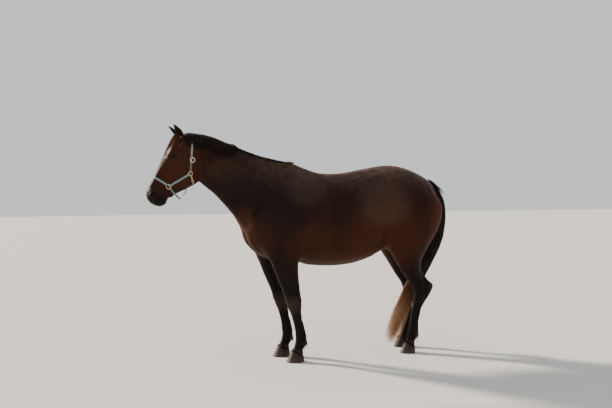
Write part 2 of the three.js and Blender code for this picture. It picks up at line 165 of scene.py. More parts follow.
def pieceFrom(name, bm, smooth=True):
    mesh = bpy.data.meshes.new(name)
    bm.to_mesh(mesh)
    bm.free()
    smoothShade(mesh, smooth)
    return newPiece(name, mesh)


def onlyVerts(items):
    return [item for item in items if isinstance(item, bmesh.types.BMVert)]


# the turn that brings +Z to a way
def facing(way):
    return Vector((0, 0, 1)).rotation_difference(Vector(way)).to_matrix()


# the turn that brings +X, +Y and +Z to the three ways given
def turnTo(*ways):
    return Matrix([tuple(way) for way in ways]).transposed()


# turns a mesh in the making about the origin, then moves it to its place
def setInPlace(bm, turn, at):
    bmesh.ops.rotate(bm, verts=bm.verts, cent=(0, 0, 0), matrix=turn)
    bmesh.ops.translate(bm, verts=bm.verts, vec=Vector(at))


# bakes the piece's modifiers into its mesh
def settle(piece):
    view = bpy.context.evaluated_depsgraph_get()
    mesh = bpy.data.meshes.new_from_object(piece.evaluated_get(view))
    old = piece.data
    piece.modifiers.clear()
    piece.data = mesh
    mesh.name = old.name
    bpy.data.meshes.remove(old)


def copyOfNodes(nodes, cuts=0, grow=0.0):
    bm = bmesh.new()
    for node in nodes:
        part = bmesh.new()
        part.from_mesh(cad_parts[node].data)
        bmesh.ops.remove_doubles(part, verts=part.verts, dist=1e-5)
        part.normal_update()
        for vert in part.verts:
            vert.co += vert.normal * grow
        if cuts:
            bmesh.ops.subdivide_edges(part, edges=part.edges, cuts=cuts, use_grid_fill=True)
        mesh = bpy.data.meshes.new("part")
        part.to_mesh(mesh)
        part.free()
        bm.from_mesh(mesh)
        bpy.data.meshes.remove(mesh)
    return bm


# all the flesh becomes one smooth surface
flesh = ["head", "neck", "trunk", "foreleg_left", "foreleg_right", "hindleg_left", "hindleg_right",
         "ear_left", "ear_right"]
skin = {
    "grow": 0.0007,         # closes the thin cuts between the parts
    "earGrow": 0.0012,
    "voxel": 0.0191,
    "lensMiddle": (0.27, -0.06),
    "lensTrue": [0, 0.37, 0.7, 3.5],    # the head is meshed finer: it is modelled under a lens
    "lensSeen": [0, 1.22, 1.75, 4.55],
    "smoothBroad": 44,
    "smoothAll": 3,
    "headSpared": 0.93, "legSpared": 0.82,      # how much less of the broad smoothing these take
    "fineBelow": 0.62,      # the legs are meshed finer up to here
    "fineNearEye": 0.048, "finestNearEye": 0.036,
}


def underLens(points, inverse=False):
    middle = np.array(onHead(*skin["lensMiddle"]))
    true, seen = skin["lensTrue"], skin["lensSeen"]
    if inverse:
        true, seen = seen, true
    away = points - middle
    reach = np.maximum(np.linalg.norm(away, axis=1), 1e-9)
    return middle + away * (np.interp(reach, true, seen) / reach)[:, None]


# how far each point is in the head and in the legs, from 0 to 1
def regionShares(points):
    x, z = points[:, 0] - footX, points[:, 2]
    away = points - np.array(onHead(0, 0))
    alongHead, offHead = away @ np.array(downFace), away @ np.array(offFace)
    head = smoothStep(alongHead * 0.35 + offHead, -0.2, -0.1) * smoothStep(z, 1.15, 1.25)
    head *= smoothStep(-x, 0.7, 0.78)
    leg = smoothStep(-z, -0.8, -0.62)
    return head, leg


def makeSkin():
    bm = copyOfNodes(flesh[:-2] + ["eye_left", "eye_right"], cuts=2, grow=skin["grow"])
    for node in ("ear_left", "ear_right"):      # filled for now, and hollowed out below
        full = copyOfNodes([node], grow=skin["earGrow"])
        hull = bmesh.ops.convex_hull(full, input=full.verts, use_existing_faces=False)
        spare = set(onlyVerts(hull["geom_interior"] + hull["geom_unused"]))
        bmesh.ops.delete(full, geom=list(spare), context="VERTS")
        mesh = bpy.data.meshes.new("ear")
        full.to_mesh(mesh)
        full.free()
        bm.from_mesh(mesh)
    piece = pieceFrom("horse_skin", bm)
    setPoints(piece.data, underLens(pointsOf(piece.data)))
    remesh = piece.modifiers.new("remesh", "REMESH")
    remesh.mode = "VOXEL"
    remesh.voxel_size = skin["voxel"]
    settle(piece)
    setPoints(piece.data, underLens(pointsOf(piece.data), inverse=True))
    print("skin meshed:", len(piece.data.polygons), "faces")

    head, leg = regionShares(pointsOf(piece.data))
    broad = piece.vertex_groups.new(name="broad")
    weights = np.clip(1 - skin["headSpared"] * head - skin["legSpared"] * leg, 0.04, 1)
    for index, weight in enumerate(weights):
        broad.add([index], float(weight), "REPLACE")
    for name, times, group in [("broad", skin["smoothBroad"], "broad"), ("all", skin["smoothAll"], "")]:
        smooth = piece.modifiers.new(name, "SMOOTH")
        smooth.factor = 0.5
        smooth.iterations = times
        smooth.vertex_group = group
    settle(piece)
    piece.vertex_groups.clear()
    return piece


# halves every edge with both ends where the rule says, then evens out the new corners
def refine(piece, rule, evenOut=2):
    bm = bmesh.new()
    bm.from_mesh(piece.data)
    bm.verts.ensure_lookup_table()
    chosen = rule(pointsOf(piece.data))
    edges = [edge for edge in bm.edges if chosen[edge.verts[0].index] and chosen[edge.verts[1].index]]
    cut = bmesh.ops.subdivide_edges(bm, edges=edges, cuts=1, use_grid_fill=True)
    fresh = onlyVerts(cut["geom_inner"])
    for step in range(evenOut):
        bmesh.ops.smooth_vert(bm, verts=fresh, factor=0.5, use_axis_x=True, use_axis_y=True, use_axis_z=True)
    bm.normal_update()
    bm.to_mesh(piece.data)
    bm.free()


# how far each point is from a path of straight stretches
def distanceTo(points, path):
    path = [np.array(place, float) for place in path]
    if len(path) == 1:
        return np.linalg.norm(points - path[0], axis=1)
    nearest = np.full(len(points), np.inf)
    for start, end in zip(path[:-1], path[1:]):
        line = end - start
        share = np.clip((points - start) @ line / (line @ line), 0, 1)
        nearest = np.minimum(nearest, np.linalg.norm(points - start - share[:, None] * line, axis=1))
    return nearest


# presses strokes into a surface
def sculpt(mesh, strokes):
    points, normals = pointsOf(mesh), normalsOf(mesh)
    moved = points.copy()
    for path, spread, rise in strokes:
        corners = np.array([tuple(place) for place in path])
        low, high = corners.min(0) - 3 * spread, corners.max(0) + 3 * spread
        inside = np.all((points > low) & (points < high), axis=1)
        lift = rise * np.exp(-(distanceTo(points[inside], path) / spread) ** 2)
        moved[inside] += normals[inside] * lift[:, None]
    setPoints(mesh, moved)


def bothSides(strokes):
    flipped = [([Vector((p[0], -p[1], p[2])) for p in path], spread, rise)
               for path, spread, rise in strokes if any(abs(p[1]) > 1e-6 for p in path)]
    return strokes + flipped


# strokes in millimetres, each a path, how wide it is and how far it rises or sinks.
# On the left side of the head, by places on the head with y to the side
headStrokes = {
    "brow": ([(170, 58, 82), (205, 66, 88), (245, 56, 82)], 10, 6),
    "hollow over the eye": ([(136, 34, 80), (150, 40, 80)], 21, -5.8),
    "facial crest": ([(255, -4, 80), (300, 0, 70), (345, 12, 60)], 8, 4.5),
    "under the crest": ([(300, -50, 74), (380, -56, 60), (430, -40, 52)], 22, -6.5),
    "over the crest": ([(270, 34, 70), (350, 44, 52), (430, 42, 44)], 14, -5),
    "nose bone": ([(250, 70, 38), (380, 71, 28), (480, 72, 22)], 10, 3),
    "nose groove": ([(300, 78, 0), (470, 76, 0)], 8, -1.4),
    "cheek": ([(240, -150, 80), (285, -130, 80)], 50, 5),
    "cheek edge": ([(165, -195, 70), (220, -232, 60), (290, -222, 50), (345, -180, 50), (365, -120, 60),
                    (350, -60, 68)], 11, 4.2),
    "cheek groove": ([(300, -245, 40), (375, -172, 46), (392, -110, 56), (375, -50, 62)], 10, -4),
    "cheek muscle": ([(200, -60, 92), (250, -140, 86)], 9, -2.2),
    "throat groove": ([(110, -120, 85), (130, -190, 75), (175, -250, 60)], 17, -8),
    "parotid": ([(70, -80, 75), (110, -150, 80)], 24, 4),
    "face vein": ([(370, -150, 46), (345, -90, 62), (335, -30, 64), (370, 22, 54)], 3.6, 2.2),
    "upper lip": ([(578, 8, 30), (560, -4, 44), (530, -20, 52)], 13, 4),
    "lower lip": ([(572, -44, 24), (545, -58, 40), (515, -68, 46)], 10, 3),
    "mouth corner": ([(498, -55, 52)], 9, -3),
    "chin": ([(552, -84, 0)], 22, 5),
    "chin groove": ([(506, -104, 20), (506, -104, 0)], 15, -5.5),
    "nostril rim": ([(508, 46, 48), (520, 60, 46), (545, 56, 50), (556, 38, 52), (545, 22, 56)], 7.5, 4.8),
    "behind the nostril": ([(490, 20, 50), (515, 5, 54)], 14, -4.5),
    "nose tip groove": ([(560, 66, 0), (592, 20, 0)], 8, -2.2),
    "temple ridge": ([(40, 25, 40), (90, 55, 60), (140, 70, 72)], 12, 3.5),
    "jaw hollow": ([(330, -190, 0), (450, -125, 0)], 20, -12),
}
# on the left side of the body, by x from the left fore foot
bodyStrokes = {
    "wing of the atlas": ([(-770, -75, 1640), (-738, -83, 1575)], 18, 8),
    "behind the atlas": ([(-722, -75, 1655), (-700, -83, 1560)], 20, -5),
    "neck bones": ([(-690, -85, 1545), (-520, -100, 1440), (-370, -125, 1330)], 26, 6),
    "crest groove": ([(-760, -55, 1700), (-520, -62, 1625), (-250, -75, 1520)], 24, -6),
    "long neck muscle": ([(-680, -75, 1440), (-560, -90, 1330), (-430, -120, 1220), (-350, -150, 1150)],
                         30, 8),
    "jugular groove": ([(-720, -60, 1420), (-610, -68, 1318), (-505, -80, 1205),
                        (-425, -100, 1110)], 17, -10.5),
    "neck and shoulder": ([(-155, -120, 1520), (-235, -160, 1400), (-320, -160, 1270),
                           (-365, -160, 1190)], 28, -12),
    "shoulder blade edge": ([(-100, -170, 1500), (-200, -205, 1320), (-290, -200, 1180)], 26, 7.5),
    "shoulder blade groove": ([(-80, -200, 1440), (-160, -225, 1280), (-235, -215, 1150)], 17, -5),
    "point of the shoulder": ([(-340, -165, 1110)], 45, 8.5),
    "upper arm groove": ([(-300, -190, 1060), (-200, -220, 980), (-130, -220, 930)], 24, -8),
    "triceps": ([(-60, -230, 1150), (-60, -220, 1000)], 60, 7),
    "triceps edge": ([(10, -210, 1320), (45, -240, 1150), (45, -220, 990), (20, -190, 900)], 36, -6.5),
    "elbow": ([(0, -180, 905)], 30, 8),
    "breast groove": ([(-392, 0, 1130), (-374, 0, 980), (-330, 0, 880)], 24, -11),
    "breast": ([(-372, -75, 1060), (-345, -80, 960)], 45, 8),
    "breast and arm": ([(-352, -125, 1010), (-310, -110, 900)], 17, -9),
    "girth": ([(40, -130, 810), (60, 0, 760)], 40, -8),
    "withers side": ([(0, -80, 1520), (140, -120, 1470)], 45, -8),
    "spine": ([(150, 0, 1505), (430, 0, 1485), (650, 0, 1530), (900, 0, 1565), (1120, 0, 1500)], 22, -3.5),
    "loin": ([(350, -75, 1480), (620, -85, 1515)], 50, 6),
    "point of the hip": ([(800, -245, 1450)], 34, 11),
    "before the hip": ([(725, -240, 1430), (700, -270, 1330)], 45, -10),
    "flank": ([(700, -285, 1240), (735, -265, 1080), (745, -220, 960)], 40, -13),
    "flank fold": ([(800, -200, 960), (735, -170, 880), (640, -130, 810)], 20, 8),
    "stifle": ([(805, -205, 930)], 36, 8),
    "thigh groove": ([(930, -260, 1340), (900, -270, 1150), (880, -250, 1000)], 28, -6),
    "thigh and buttock": ([(1130, -200, 1380), (1120, -240, 1200), (1050, -245, 1020),
                           (1010, -215, 880)], 18, -8),
    "buttock groove": ([(1225, -130, 1360), (1215, -185, 1180), (1150, -200, 1000),
                        (1080, -185, 860)], 14, -7.5),
    "rump": ([(1000, -180, 1470)], 80, 7),
    "buttock point": ([(1262, -90, 1310)], 36, 7),
    "between the buttocks": ([(1290, 0, 1330), (1262, 0, 1150), (1180, 0, 980)], 20, -16),
    "belly vein": ([(90, -170, 830), (250, -165, 775), (420, -140, 765)], 6, 2.2),
}
for rib in range(7):    # the last ribs show a little
    x = 200 + 60 * rib
    bodyStrokes[f"rib {rib}"] = ([(x, -270, 1300), (x + 45, -310, 1120), (x + 60, -270, 930)], 13, 1.3)

# on both faces of a left leg, by x and z
legStrokes = {
    "fore": [
        ([(-165, 820), (-115, 680), (-60, 560)], 13, -5.5),
        ([(-230, 800), (-165, 660), (-100, 540)], 22, 4.5),
        ([(-60, 860), (-40, 740), (-20, 620)], 26, 5),
        ([(20, 530), (30, 470)], 13, 4),
        ([(-6, 510), (6, 430)], 12, -4.8),
        ([(-45, 505), (-36, 445)], 18, 3),
        ([(-50, 400), (10, 400)], 12, -3),
        ([(12, 385), (30, 270), (48, 195)], 6.5, -6.2),
        ([(33, 380), (52, 270), (70, 195)], 7.5, 2.2),
        ([(50, 150)], 22, 4),
        ([(20, 110), (0, 80)], 18, -3),
    ],
    "hind": [
        ([(1070, 780), (1085, 690), (1110, 620), (1130, 585)], 17, -15),
        ([(960, 740), (1000, 640), (1040, 560)], 26, 5.5),
        ([(1170, 555), (1140, 520)], 12, 3),
        ([(1105, 600), (1125, 500), (1105, 430)], 14, -6.5),
        ([(1065, 520), (1070, 450)], 22, 5),
        ([(1056, 395), (1100, 395)], 12, -3),
        ([(1070, 400), (1050, 290), (1040, 205)], 6.8, -6.5),
        ([(1096, 400), (1076, 290), (1064, 205)], 8, 2.4),
        ([(1040, 155)], 22, 4.2),
        ([(1008, 112), (994, 85)], 18, -3),
    ],
}
# on its joints and heel bulbs, by x, y to the side and z
jointStrokes = {
    "fore": [
        ([(-80, 134, 480)], 24, 4),
        ([(46, 135, 500)], 16, 8),
        ([(-64, 130, 425)], 18, 3),
        ([(92, 119, 148)], 18, 6),
        ([(52, 126, 360), (64, 124, 280), (85, 122, 215)], 20, 5.5),
        ([(-31, 126, 345), (-14, 124, 280), (-4, 122, 215)], 18, 3),
        ([(58, 100, 60)], 18, 12),
        ([(58, 136, 60)], 18, 12),
    ],
    "hind": [
        ([(1205, 131, 560)], 22, 7),
        ([(1020, 128, 505)], 22, -4),
        ([(1082, 124, 152)], 18, 6),
        ([(1096, 124, 330), (1080, 124, 235), (1079, 124, 170)], 20, 6),
        ([(1044, 107, 60)], 17, 10),
        ([(1044, 141, 60)], 17, 10),
    ],
}


# strokes in metres, with their paths laid by the function given
def inMetres(strokes, lay):
    return [([lay(*(value / 1000 for value in place)) for place in path], spread / 1000, rise / 1000)
            for path, spread, rise in strokes]


def sculptHead(piece):
    strokes = inMetres(headStrokes.values(), lambda s, t, y: onHead(s, t, -y))
    sculpt(piece.data, bothSides(strokes))
    print("head sculpted")


# where the strokes of a leg act: outward of and below these, and between these lengths
legReach = {"inside": 0.04, "top": 0.95, "fore": (-np.inf, 0.4),
            "hind": (0.6, np.inf)}


def sculptBody(piece):
    sculpt(piece.data, bothSides(inMetres(bodyStrokes.values(), onBody)))
    for end in ("fore", "hind"):
        for side in (-1, 1):
            points, normals = pointsOf(piece.data), normalsOf(piece.data)
            front, back = legReach[end]
            own = (points[:, 1] * side > legReach["inside"]) & (points[:, 2] < legReach["top"])
            own &= (points[:, 0] > footX + front) & (points[:, 0] < footX + back)
            flat = points * (1, 0, 1)
            lift = np.zeros(len(points))
            for path, spread, rise in inMetres(legStrokes[end], lambda x, z: onLeg(end, side, x, 0, z)):
                near = distanceTo(flat[own], path)
                lift[own] += rise * np.exp(-(near / spread) ** 2) * np.abs(normals[own, 1]) ** 1.5
            setPoints(piece.data, points + normals * lift[:, None])
            sculpt(piece.data, inMetres(jointStrokes[end], lambda x, y, z: onLeg(end, side, x, y * side, z)))
    print("body sculpted")


ear = {
    "root": (-0.88, 0.05, 1.742),     # of the left ear, with y to the side
    "tips": {-1: (-0.953, 0.074, 1.848), 1: (-0.969, 0.074, 1.846)},
    "opens": (-0.8, 0.55, -0.3),
    "half": [0.02, 0.028, 0.031, 0.028, 0.02, 0.009, 0.0015],     # half its width from root to tip
    "curl": 0.85, "thick": 0.0058,
    "reach": 0.045,         # how far from its middle line the flesh is its own
    "filledFrom": 0.25, "widened": 0.13,
}


# an ear's root, the way from there to its tip, and the way it opens
def earFrame(side):
    root = mirrored(onBody(*ear["root"]), side)
    return root, mirrored(onBody(*ear["tips"][side]), side) - root, mirrored(ear["opens"], side)


# places in an ear's own measure: along it from root to tip, across it, and in from its opening
def inEar(points, side):
    root, axis, opens = earFrame(side)
    across = unit(np.cross(axis, opens))
    back = unit(np.cross(axis, across))
    back *= -np.sign(back @ opens)
    away = points - root
    return away @ axis / (axis @ axis), away @ across, away @ back, across, back


def halfEar(along):
    return np.interp(along, np.linspace(0, 1, 7), ear["half"])


def nearEar(across, deep):
    return (np.abs(across) < ear["reach"]) & (np.abs(deep) < ear["reach"])


def onEars(points):
    found = np.zeros(len(points), bool)
    for side in (-1, 1):
        along, across, deep, *rest = inEar(points, side)
        found |= (along > 0.06) & (along < 1.3) & nearEar(across, deep)
    return found


# the ears' full length and width, which meshing has taken a little of
def fillEars(piece):
    points = pointsOf(piece.data)
    for side in (-1, 1):
        along, u, deep, across, *rest = inEar(points, side)
        start = ear["filledFrom"]
        own = (along > start) & nearEar(u, deep)
        top = along[own].max()
        grow = np.clip((along - start) / (top - start), 0, 1) * (1.0 - top) * own
        points += np.outer(grow, earFrame(side)[1])
        points += np.outer(u * ear["widened"] * smoothStep(along, start, 0.55) * own, across)
        print("ear tip was at", round(float(top), 3))
    setPoints(piece.data, points)


def hollowEars(piece):
    points, normals = pointsOf(piece.data), normalsOf(piece.data)
    for side in (-1, 1):
        along, u, deep, *rest, back = inEar(points, side)
        half = halfEar(along)
        share = np.abs(u) / half
        wall = half * ear["curl"] * np.sqrt(np.clip(1 - share ** 2, 0, 1)) - ear["thick"]
        run = smoothStep(along, 0.08, 0.3) * smoothStep(-along, -0.97, -0.84)
        front = smoothStep(-(normals @ back), 0.0, 0.35) * (np.abs(deep) < 0.04)
        mask = run * front * smoothStep(-share, -0.92, -0.74)
        points += np.outer(np.maximum(wall - deep, 0) * mask, back)
    setPoints(piece.data, points)
    print("ears hollowed")


def onMuzzle(points):
    return distanceTo(points, [onHead(0.5, -0.02), onHead(0.57, -0.02)]) < 0.085


eye = {
    "looks": (-0.26, 0.96, -0.06),
    "slant": 33,            # degrees by which the front corner lies lower
    "radius": 0.0226,
    "half": 0.0204,         # half the length of the opening
    "upper": 0.0134,        # height of the opening above and below its corners
    "lower": 0.0098,
    "lid": (0.0013, 0.0036),    # how far the lids stand off the ball, at the opening and away from it
    "behind": 0.0032,       # how far the skin lies inside the ball in the opening
    "seat": 0.03,           # how far out the lids reach
    "rim": 0.0025,
    "rimSteps": 56,
    # folds in the skin: whether above the eye, how far from the opening, how wide and how deep
    "folds": [(True, 0.006, 0.0016, 0.0018), (True, 0.012, 0.0024, 0.0008),
              (False, 0.0055, 0.0018, 0.0008), (False, 0.012, 0.003, 0.0006)],
}


def awayFromEyes(points):
    return np.minimum(*(np.linalg.norm(points - eyeSeat(side)[0], axis=1) for side in (-1, 1)))


# a seat for one eye: its middle, the way it looks, the way to its front corner, and up across it
def eyeSeat(side):
    out = unit(mirrored(eye["looks"], side))
    slant = math.radians(eye["slant"])
    along = squareTo(np.array((-math.cos(slant), 0, -math.sin(slant))), out)
    up = np.cross(along, out)
    return np.array(middleOf("eye_left" if side < 0 else "eye_right")), out, along, up * np.sign(up[2])


# places from their measures in a seat
def fromSeat(seat, p, q, h):
    middle, out, along, up = seat
    return middle + np.outer(p, along) + np.outer(q, up) + np.outer(h, out)


# places over an eye's ball, this high off it
def onBall(side, p, q, high):
    return fromSeat(eyeSeat(side), p, q, np.sqrt((eye["radius"] + high) ** 2 - p * p - q * q))


# reshapes the skin round a seat, by a rule that starts from the smooth face which fits the ring round it.
# The ring goes from ringFrom to the reach, and the new shape fades out from keepFrom on
def reshapeAt(piece, seat, ringFrom, keepFrom, reach, depths, rule):
    middle, out, along, up = seat
    points = pointsOf(piece.data)
    away = points - middle
    p, q, h = away @ along, away @ up, away @ out
    near = np.hypot(p, q)
    part = (near < reach) & (h > depths[0]) & (h < depths[1])
    ring = part & (near > ringFrom)

    def terms(p, q):
        return np.stack([np.ones_like(p), p, q, p * p, q * q, p * q], axis=1)

    fitted, *rest = np.linalg.lstsq(terms(p[ring], q[ring]), h[ring], rcond=None)
    p, q, h, near = p[part], q[part], h[part], near[part]
    keep = smoothStep(near, keepFrom, reach)
    shaped = rule(p, q, near, terms(p, q) @ fitted)
    points[part] = fromSeat(seat, p, q, h * keep + shaped * (1 - keep))
    setPoints(piece.data, points)


# how the opening between the lids bows from corner to corner
def eyeBow(p):
    return np.clip(1 - (p / eye["half"]) ** 2, 0, 1) ** 0.72


# below 0 inside the opening between the lids, above 0 out on the lids
def lidEdge(p, q):
    bow = eyeBow(p)
    inBow = np.maximum(q - eye["upper"] * bow, -eye["lower"] * bow - q)
    corner = np.hypot(np.abs(p) - eye["half"], q)
    return np.where(np.abs(p) < eye["half"], inBow, corner)


# lids are draped over the ball, with the fold above them
def shapeLids(piece, side):
    def shapeOf(p, q, near, face):
        edge = lidEdge(p, q)
        thin, full = eye["lid"]
        lid = thin + (full - thin) * smoothStep(edge, 0.0, 0.004)
        ball = np.sqrt(np.maximum((eye["radius"] + lid) ** 2 - near ** 2, 0))
        shaped = 0.5 * (face + ball + np.hypot(face - ball, 0.004))
        for above, low, width, deep in eye["folds"]:
            over = smoothStep(q, -0.004, 0.004) if above else smoothStep(-q, -0.002, 0.004)
            shaped -= deep * np.exp(-((edge - low) / width) ** 2) * over
        inner = np.sqrt(np.maximum((eye["radius"] - eye["behind"]) ** 2 - near ** 2, 0))
        return np.where(edge < 0, inner, shaped)

    seat = eye["seat"]
    reshapeAt(piece, eyeSeat(side), seat - 0.003, seat, seat + 0.012, (-0.012, np.inf), shapeOf)


muzzle = {
    "nostril": (0.531, 0.038, 0.052),
    "looks": (-0.42, 0.88, 0.2),   # the nostril's outward way on the left, with y to the side
    "runs": (-0.62, 0.1, -0.72),   # and the way that its slit runs down
    "half": 0.02, "wide": 0.0085,      # half its length and half its width
    "bend": 14.0,           # how strongly it curves, per metre
    "deep": 0.019,
    "rim": 0.0046,          # height of the soft rim round it
    "reach": 0.04,          # how far from it the skin is reshaped
    "mouth": [(0.59, -0.006, 0.0), (0.584, -0.014, 0.024), (0.564, -0.025, 0.042), (0.532, -0.04, 0.05),
              (0.5, -0.053, 0.05)],
    "lips": [(0.005, -0.003), (0.0028, -0.0034), (0.0022, -0.0024)],     # how wide and deep their line is
}


def nostrilOn(side):
    s, t, y = muzzle["nostril"]
    return np.array(onHead(s, t, y * side))


def shapeNostril(piece, side):
    out = unit(mirrored(muzzle["looks"], side))
    along = squareTo(mirrored(muzzle["runs"], side), out)
    across = np.cross(along, out)
    across *= -np.sign(across @ np.array(offFace))

    def shapeOf(p, q, near, face):
        bent = q + muzzle["bend"] * p * p - 0.003
        narrow = muzzle["wide"] * (0.8 + 12 * (p + 0.004))
        e = np.hypot(p / muzzle["half"], bent / np.maximum(narrow, 0.004))
        shaped = face - muzzle["deep"] * (1 - smoothStep(e, 0.45, 1.05))
        rim = muzzle["rim"] * np.exp(-((e - 1.3) / 0.34) ** 2)
        return shaped + rim * (0.55 + 0.45 * smoothStep(-bent, -0.006, 0.008))

    seat = (nostrilOn(side), out, along, across)
    reshapeAt(piece, seat, 0.027, 0.026, muzzle["reach"], (-0.035, 0.035), shapeOf)


def shapeMuzzle(piece):
    for side in (-1, 1):
        shapeNostril(piece, side)
        lips = [onHead(s, t, y * side) for s, t, y in muzzle["mouth"]]
        for spread, rise in muzzle["lips"]:
            sculpt(piece.data, [(lips, spread, rise)])
    print("muzzle shaped")


skinPiece = makeSkin()
fillEars(skinPiece)
refine(skinPiece, lambda points: points[:, 2] < skin["fineBelow"])
refine(skinPiece, lambda points: onMuzzle(points) | (awayFromEyes(points) < skin["fineNearEye"]))
refine(skinPiece, lambda points: awayFromEyes(points) < skin["finestNearEye"], evenOut=0)
refine(skinPiece, onEars)
sculptBody(skinPiece)
sculptHead(skinPiece)
shapeMuzzle(skinPiece)
hollowEars(skinPiece)
for side in (-1, 1):
    shapeLids(skinPiece, side)
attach(skinPiece, "root")
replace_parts(skinPiece, *flesh)
smoothShade(skinPiece.data)
print("skin done:", sum(len(face.vertices) - 2 for face in skinPiece.data.polygons), "triangles")


# a node's outgoing socket, which takes arithmetic
class Wire:
    def __init__(self, finish, socket):
        self.finish = finish
        self.socket = socket

    def math(self, operation, *values):
        return self.finish.node("Math", {"operation": operation}, dict(enumerate(values)))

    def wave(self):
        return self.math("SINE", self) * 0.5 + 0.5

    def __add__(self, other):
        return self.math("ADD", self, other)

    def __sub__(self, other):
        return self.math("SUBTRACT", self, other)

    def __rsub__(self, other):
        return self.math("SUBTRACT", other, self)

    def __mul__(self, other):
        return self.math("MULTIPLY", self, other)

    def __pow__(self, other):
        return self.math("POWER", self, other)

    __radd__ = __add__
    __rmul__ = __mul__


# a material, with methods that make its nodes
class Finish:
    def __init__(self, name, **fixed):
        self.material = bpy.data.materials.new(name)
        self.material.use_nodes = True
        self.tree = self.material.node_tree
        self.shader = self.tree.nodes["Principled BSDF"]
        for socket, value in fixed.items():
            self.shader.inputs[socket.replace("_", " ")].default_value = value
        self.place = self.node("TexCoord", {}, {}, "Object")

    # settings first, then the sockets, each a value or a wire
    def node(self, kind, settings, sockets, out=0):
        made = self.tree.nodes.new("ShaderNode" + kind)
        for key, value in settings.items():
            setattr(made, key, value)
        for key, value in sockets.items():
            if isinstance(value, Wire):
                self.tree.links.new(value.socket, made.inputs[key])
            else:
                made.inputs[key].default_value = value
        return Wire(self, made.outputs[out])

    # tip turns it about the sideways axis before it is stretched
    def noise(self, scale, detail=3.0, rough=0.5, stretch=(1, 1, 1), tip=0.0):
        place = self.node("Mapping", {}, {"Vector": self.place, "Rotation": (0, tip, 0)})
        place = self.node("Mapping", {}, {"Vector": place, "Scale": stretch})
        sockets = {"Vector": place, "Scale": scale, "Detail": detail, "Roughness": rough}
        return self.node("TexNoise", {}, sockets)

    # 0 below low, 1 above high
    def rise(self, value, low, high):
        return self.node("MapRange", {"interpolation_type": "SMOOTHSTEP"},
                         {"Value": value, "From Min": low, "From Max": high})

    def mix(self, share, under, over):
        return self.node("Mix", {"data_type": "RGBA"}, {0: share, 6: under, 7: over}, 2)

    # 1 at a place, fading to 0 at these radii from it
    def spot(self, middle, radii):
        away = self.vector("DIVIDE", self.awayFrom(middle), radii)
        return 1 - self.rise(self.vector("LENGTH", away, out="Value"), 0.25, 1.0)

    def vector(self, operation, *values, out="Vector"):
        return self.node("VectorMath", {"operation": operation}, dict(enumerate(values)), out)

    def awayFrom(self, middle):
        return self.vector("SUBTRACT", self.place, tuple(middle))

    def attribute(self, name):
        return self.node("Attribute", {"attribute_name": name}, {}, "Fac")

    def axis(self, name):
        return self.node("SeparateXYZ", {}, {0: self.place}, name)

    def bump(self, height, strength, distance):
        return self.node("Bump", {}, {"Height": height, "Strength": strength, "Distance": distance})

    def wear(self, **sockets):
        for socket, wire in sockets.items():
            self.tree.links.new(wire.socket, self.shader.inputs[socket.replace("_", " ")])
        return self.material


bay = {
    "brown": (0.0215, 0.0046, 0.0014, 1),
    "deep": (0.0058, 0.0017, 0.0009, 1),
    "red": (0.058, 0.0135, 0.0032, 1),
    "tan": (0.088, 0.044, 0.02, 1),
    "dust": (0.078, 0.044, 0.027, 1),
    # partly real dust and partly painted sheen of the sun
    "dust_and_sheen": (0.112, 0.071, 0.049, 1),
    "black": (0.0034, 0.0024, 0.0021, 1),
}
# soft patches on the left, mirrored to the right: middle, radii, colour and how strong
patches = {
    "body": [
        (onBody(0.7, -0.24, 0.98), (0.62, 0.4, 0.42), "red", 0.62),
        (onBody(1.24, -0.14, 1.1), (0.26, 0.3, 0.48), "red", 0.85),
        (onBody(0.1, -0.22, 0.92), (0.34, 0.3, 0.3), "red", 0.42),
        (onBody(-0.3, -0.16, 1.02), (0.2, 0.22, 0.34), "red", 0.28),
        (onBody(-0.56, -0.1, 1.5), (0.21, 0.2, 0.15), "tan", 0.22),
        (onHead(0.26, -0.05, -0.08), (0.3, 0.13, 0.34), "red", 0.48),
        (onBody(-0.1, -0.2, 1.28), (0.42, 0.26, 0.4), "deep", 0.6),
        (onBody(-0.5, -0.12, 1.28), (0.36, 0.26, 0.34), "deep", 0.6),
        (onHead(0.575, 0.0, -0.03), (0.125, 0.1, 0.125), "black", 0.8),
        (onBody(-0.4, -0.08, 1.06), (0.12, 0.2, 0.26), "red", 0.55),
        (middleOf("eye_left"), (0.06, 0.05, 0.054), "black", 0.5),
        # these two paler patches are partly real dust and partly painted sheen
        (onBody(0.7, -0.26, 1.24), (0.36, 0.28, 0.28), "dust_and_sheen", 0.24),
        (onBody(0.06, -0.2, 1.36), (0.26, 0.24, 0.22), "dust_and_sheen", 0.16),
        (onBody(0.48, 0.0, 0.74), (0.8, 0.5, 0.3), "red", 0.6),
    ],
    "ears": [
        (onBody(-0.955, -0.072, 1.85), (0.075, 0.065, 0.06), "black", 0.75),
        (onBody(-0.925, -0.072, 1.795), (0.036, 0.036, 0.05), "black", 0.7),
    ],
    "legs": [
        (onBody(-0.03, -0.13, 0.46), (0.13, 0.1, 0.13), "dust", 0.42),
        (onBody(0.0, -0.12, 0.075), (0.12, 0.1, 0.05), "dust", 0.3),
        (onBody(1.0, -0.12, 0.075), (0.12, 0.1, 0.05), "dust", 0.3),
    ],
}


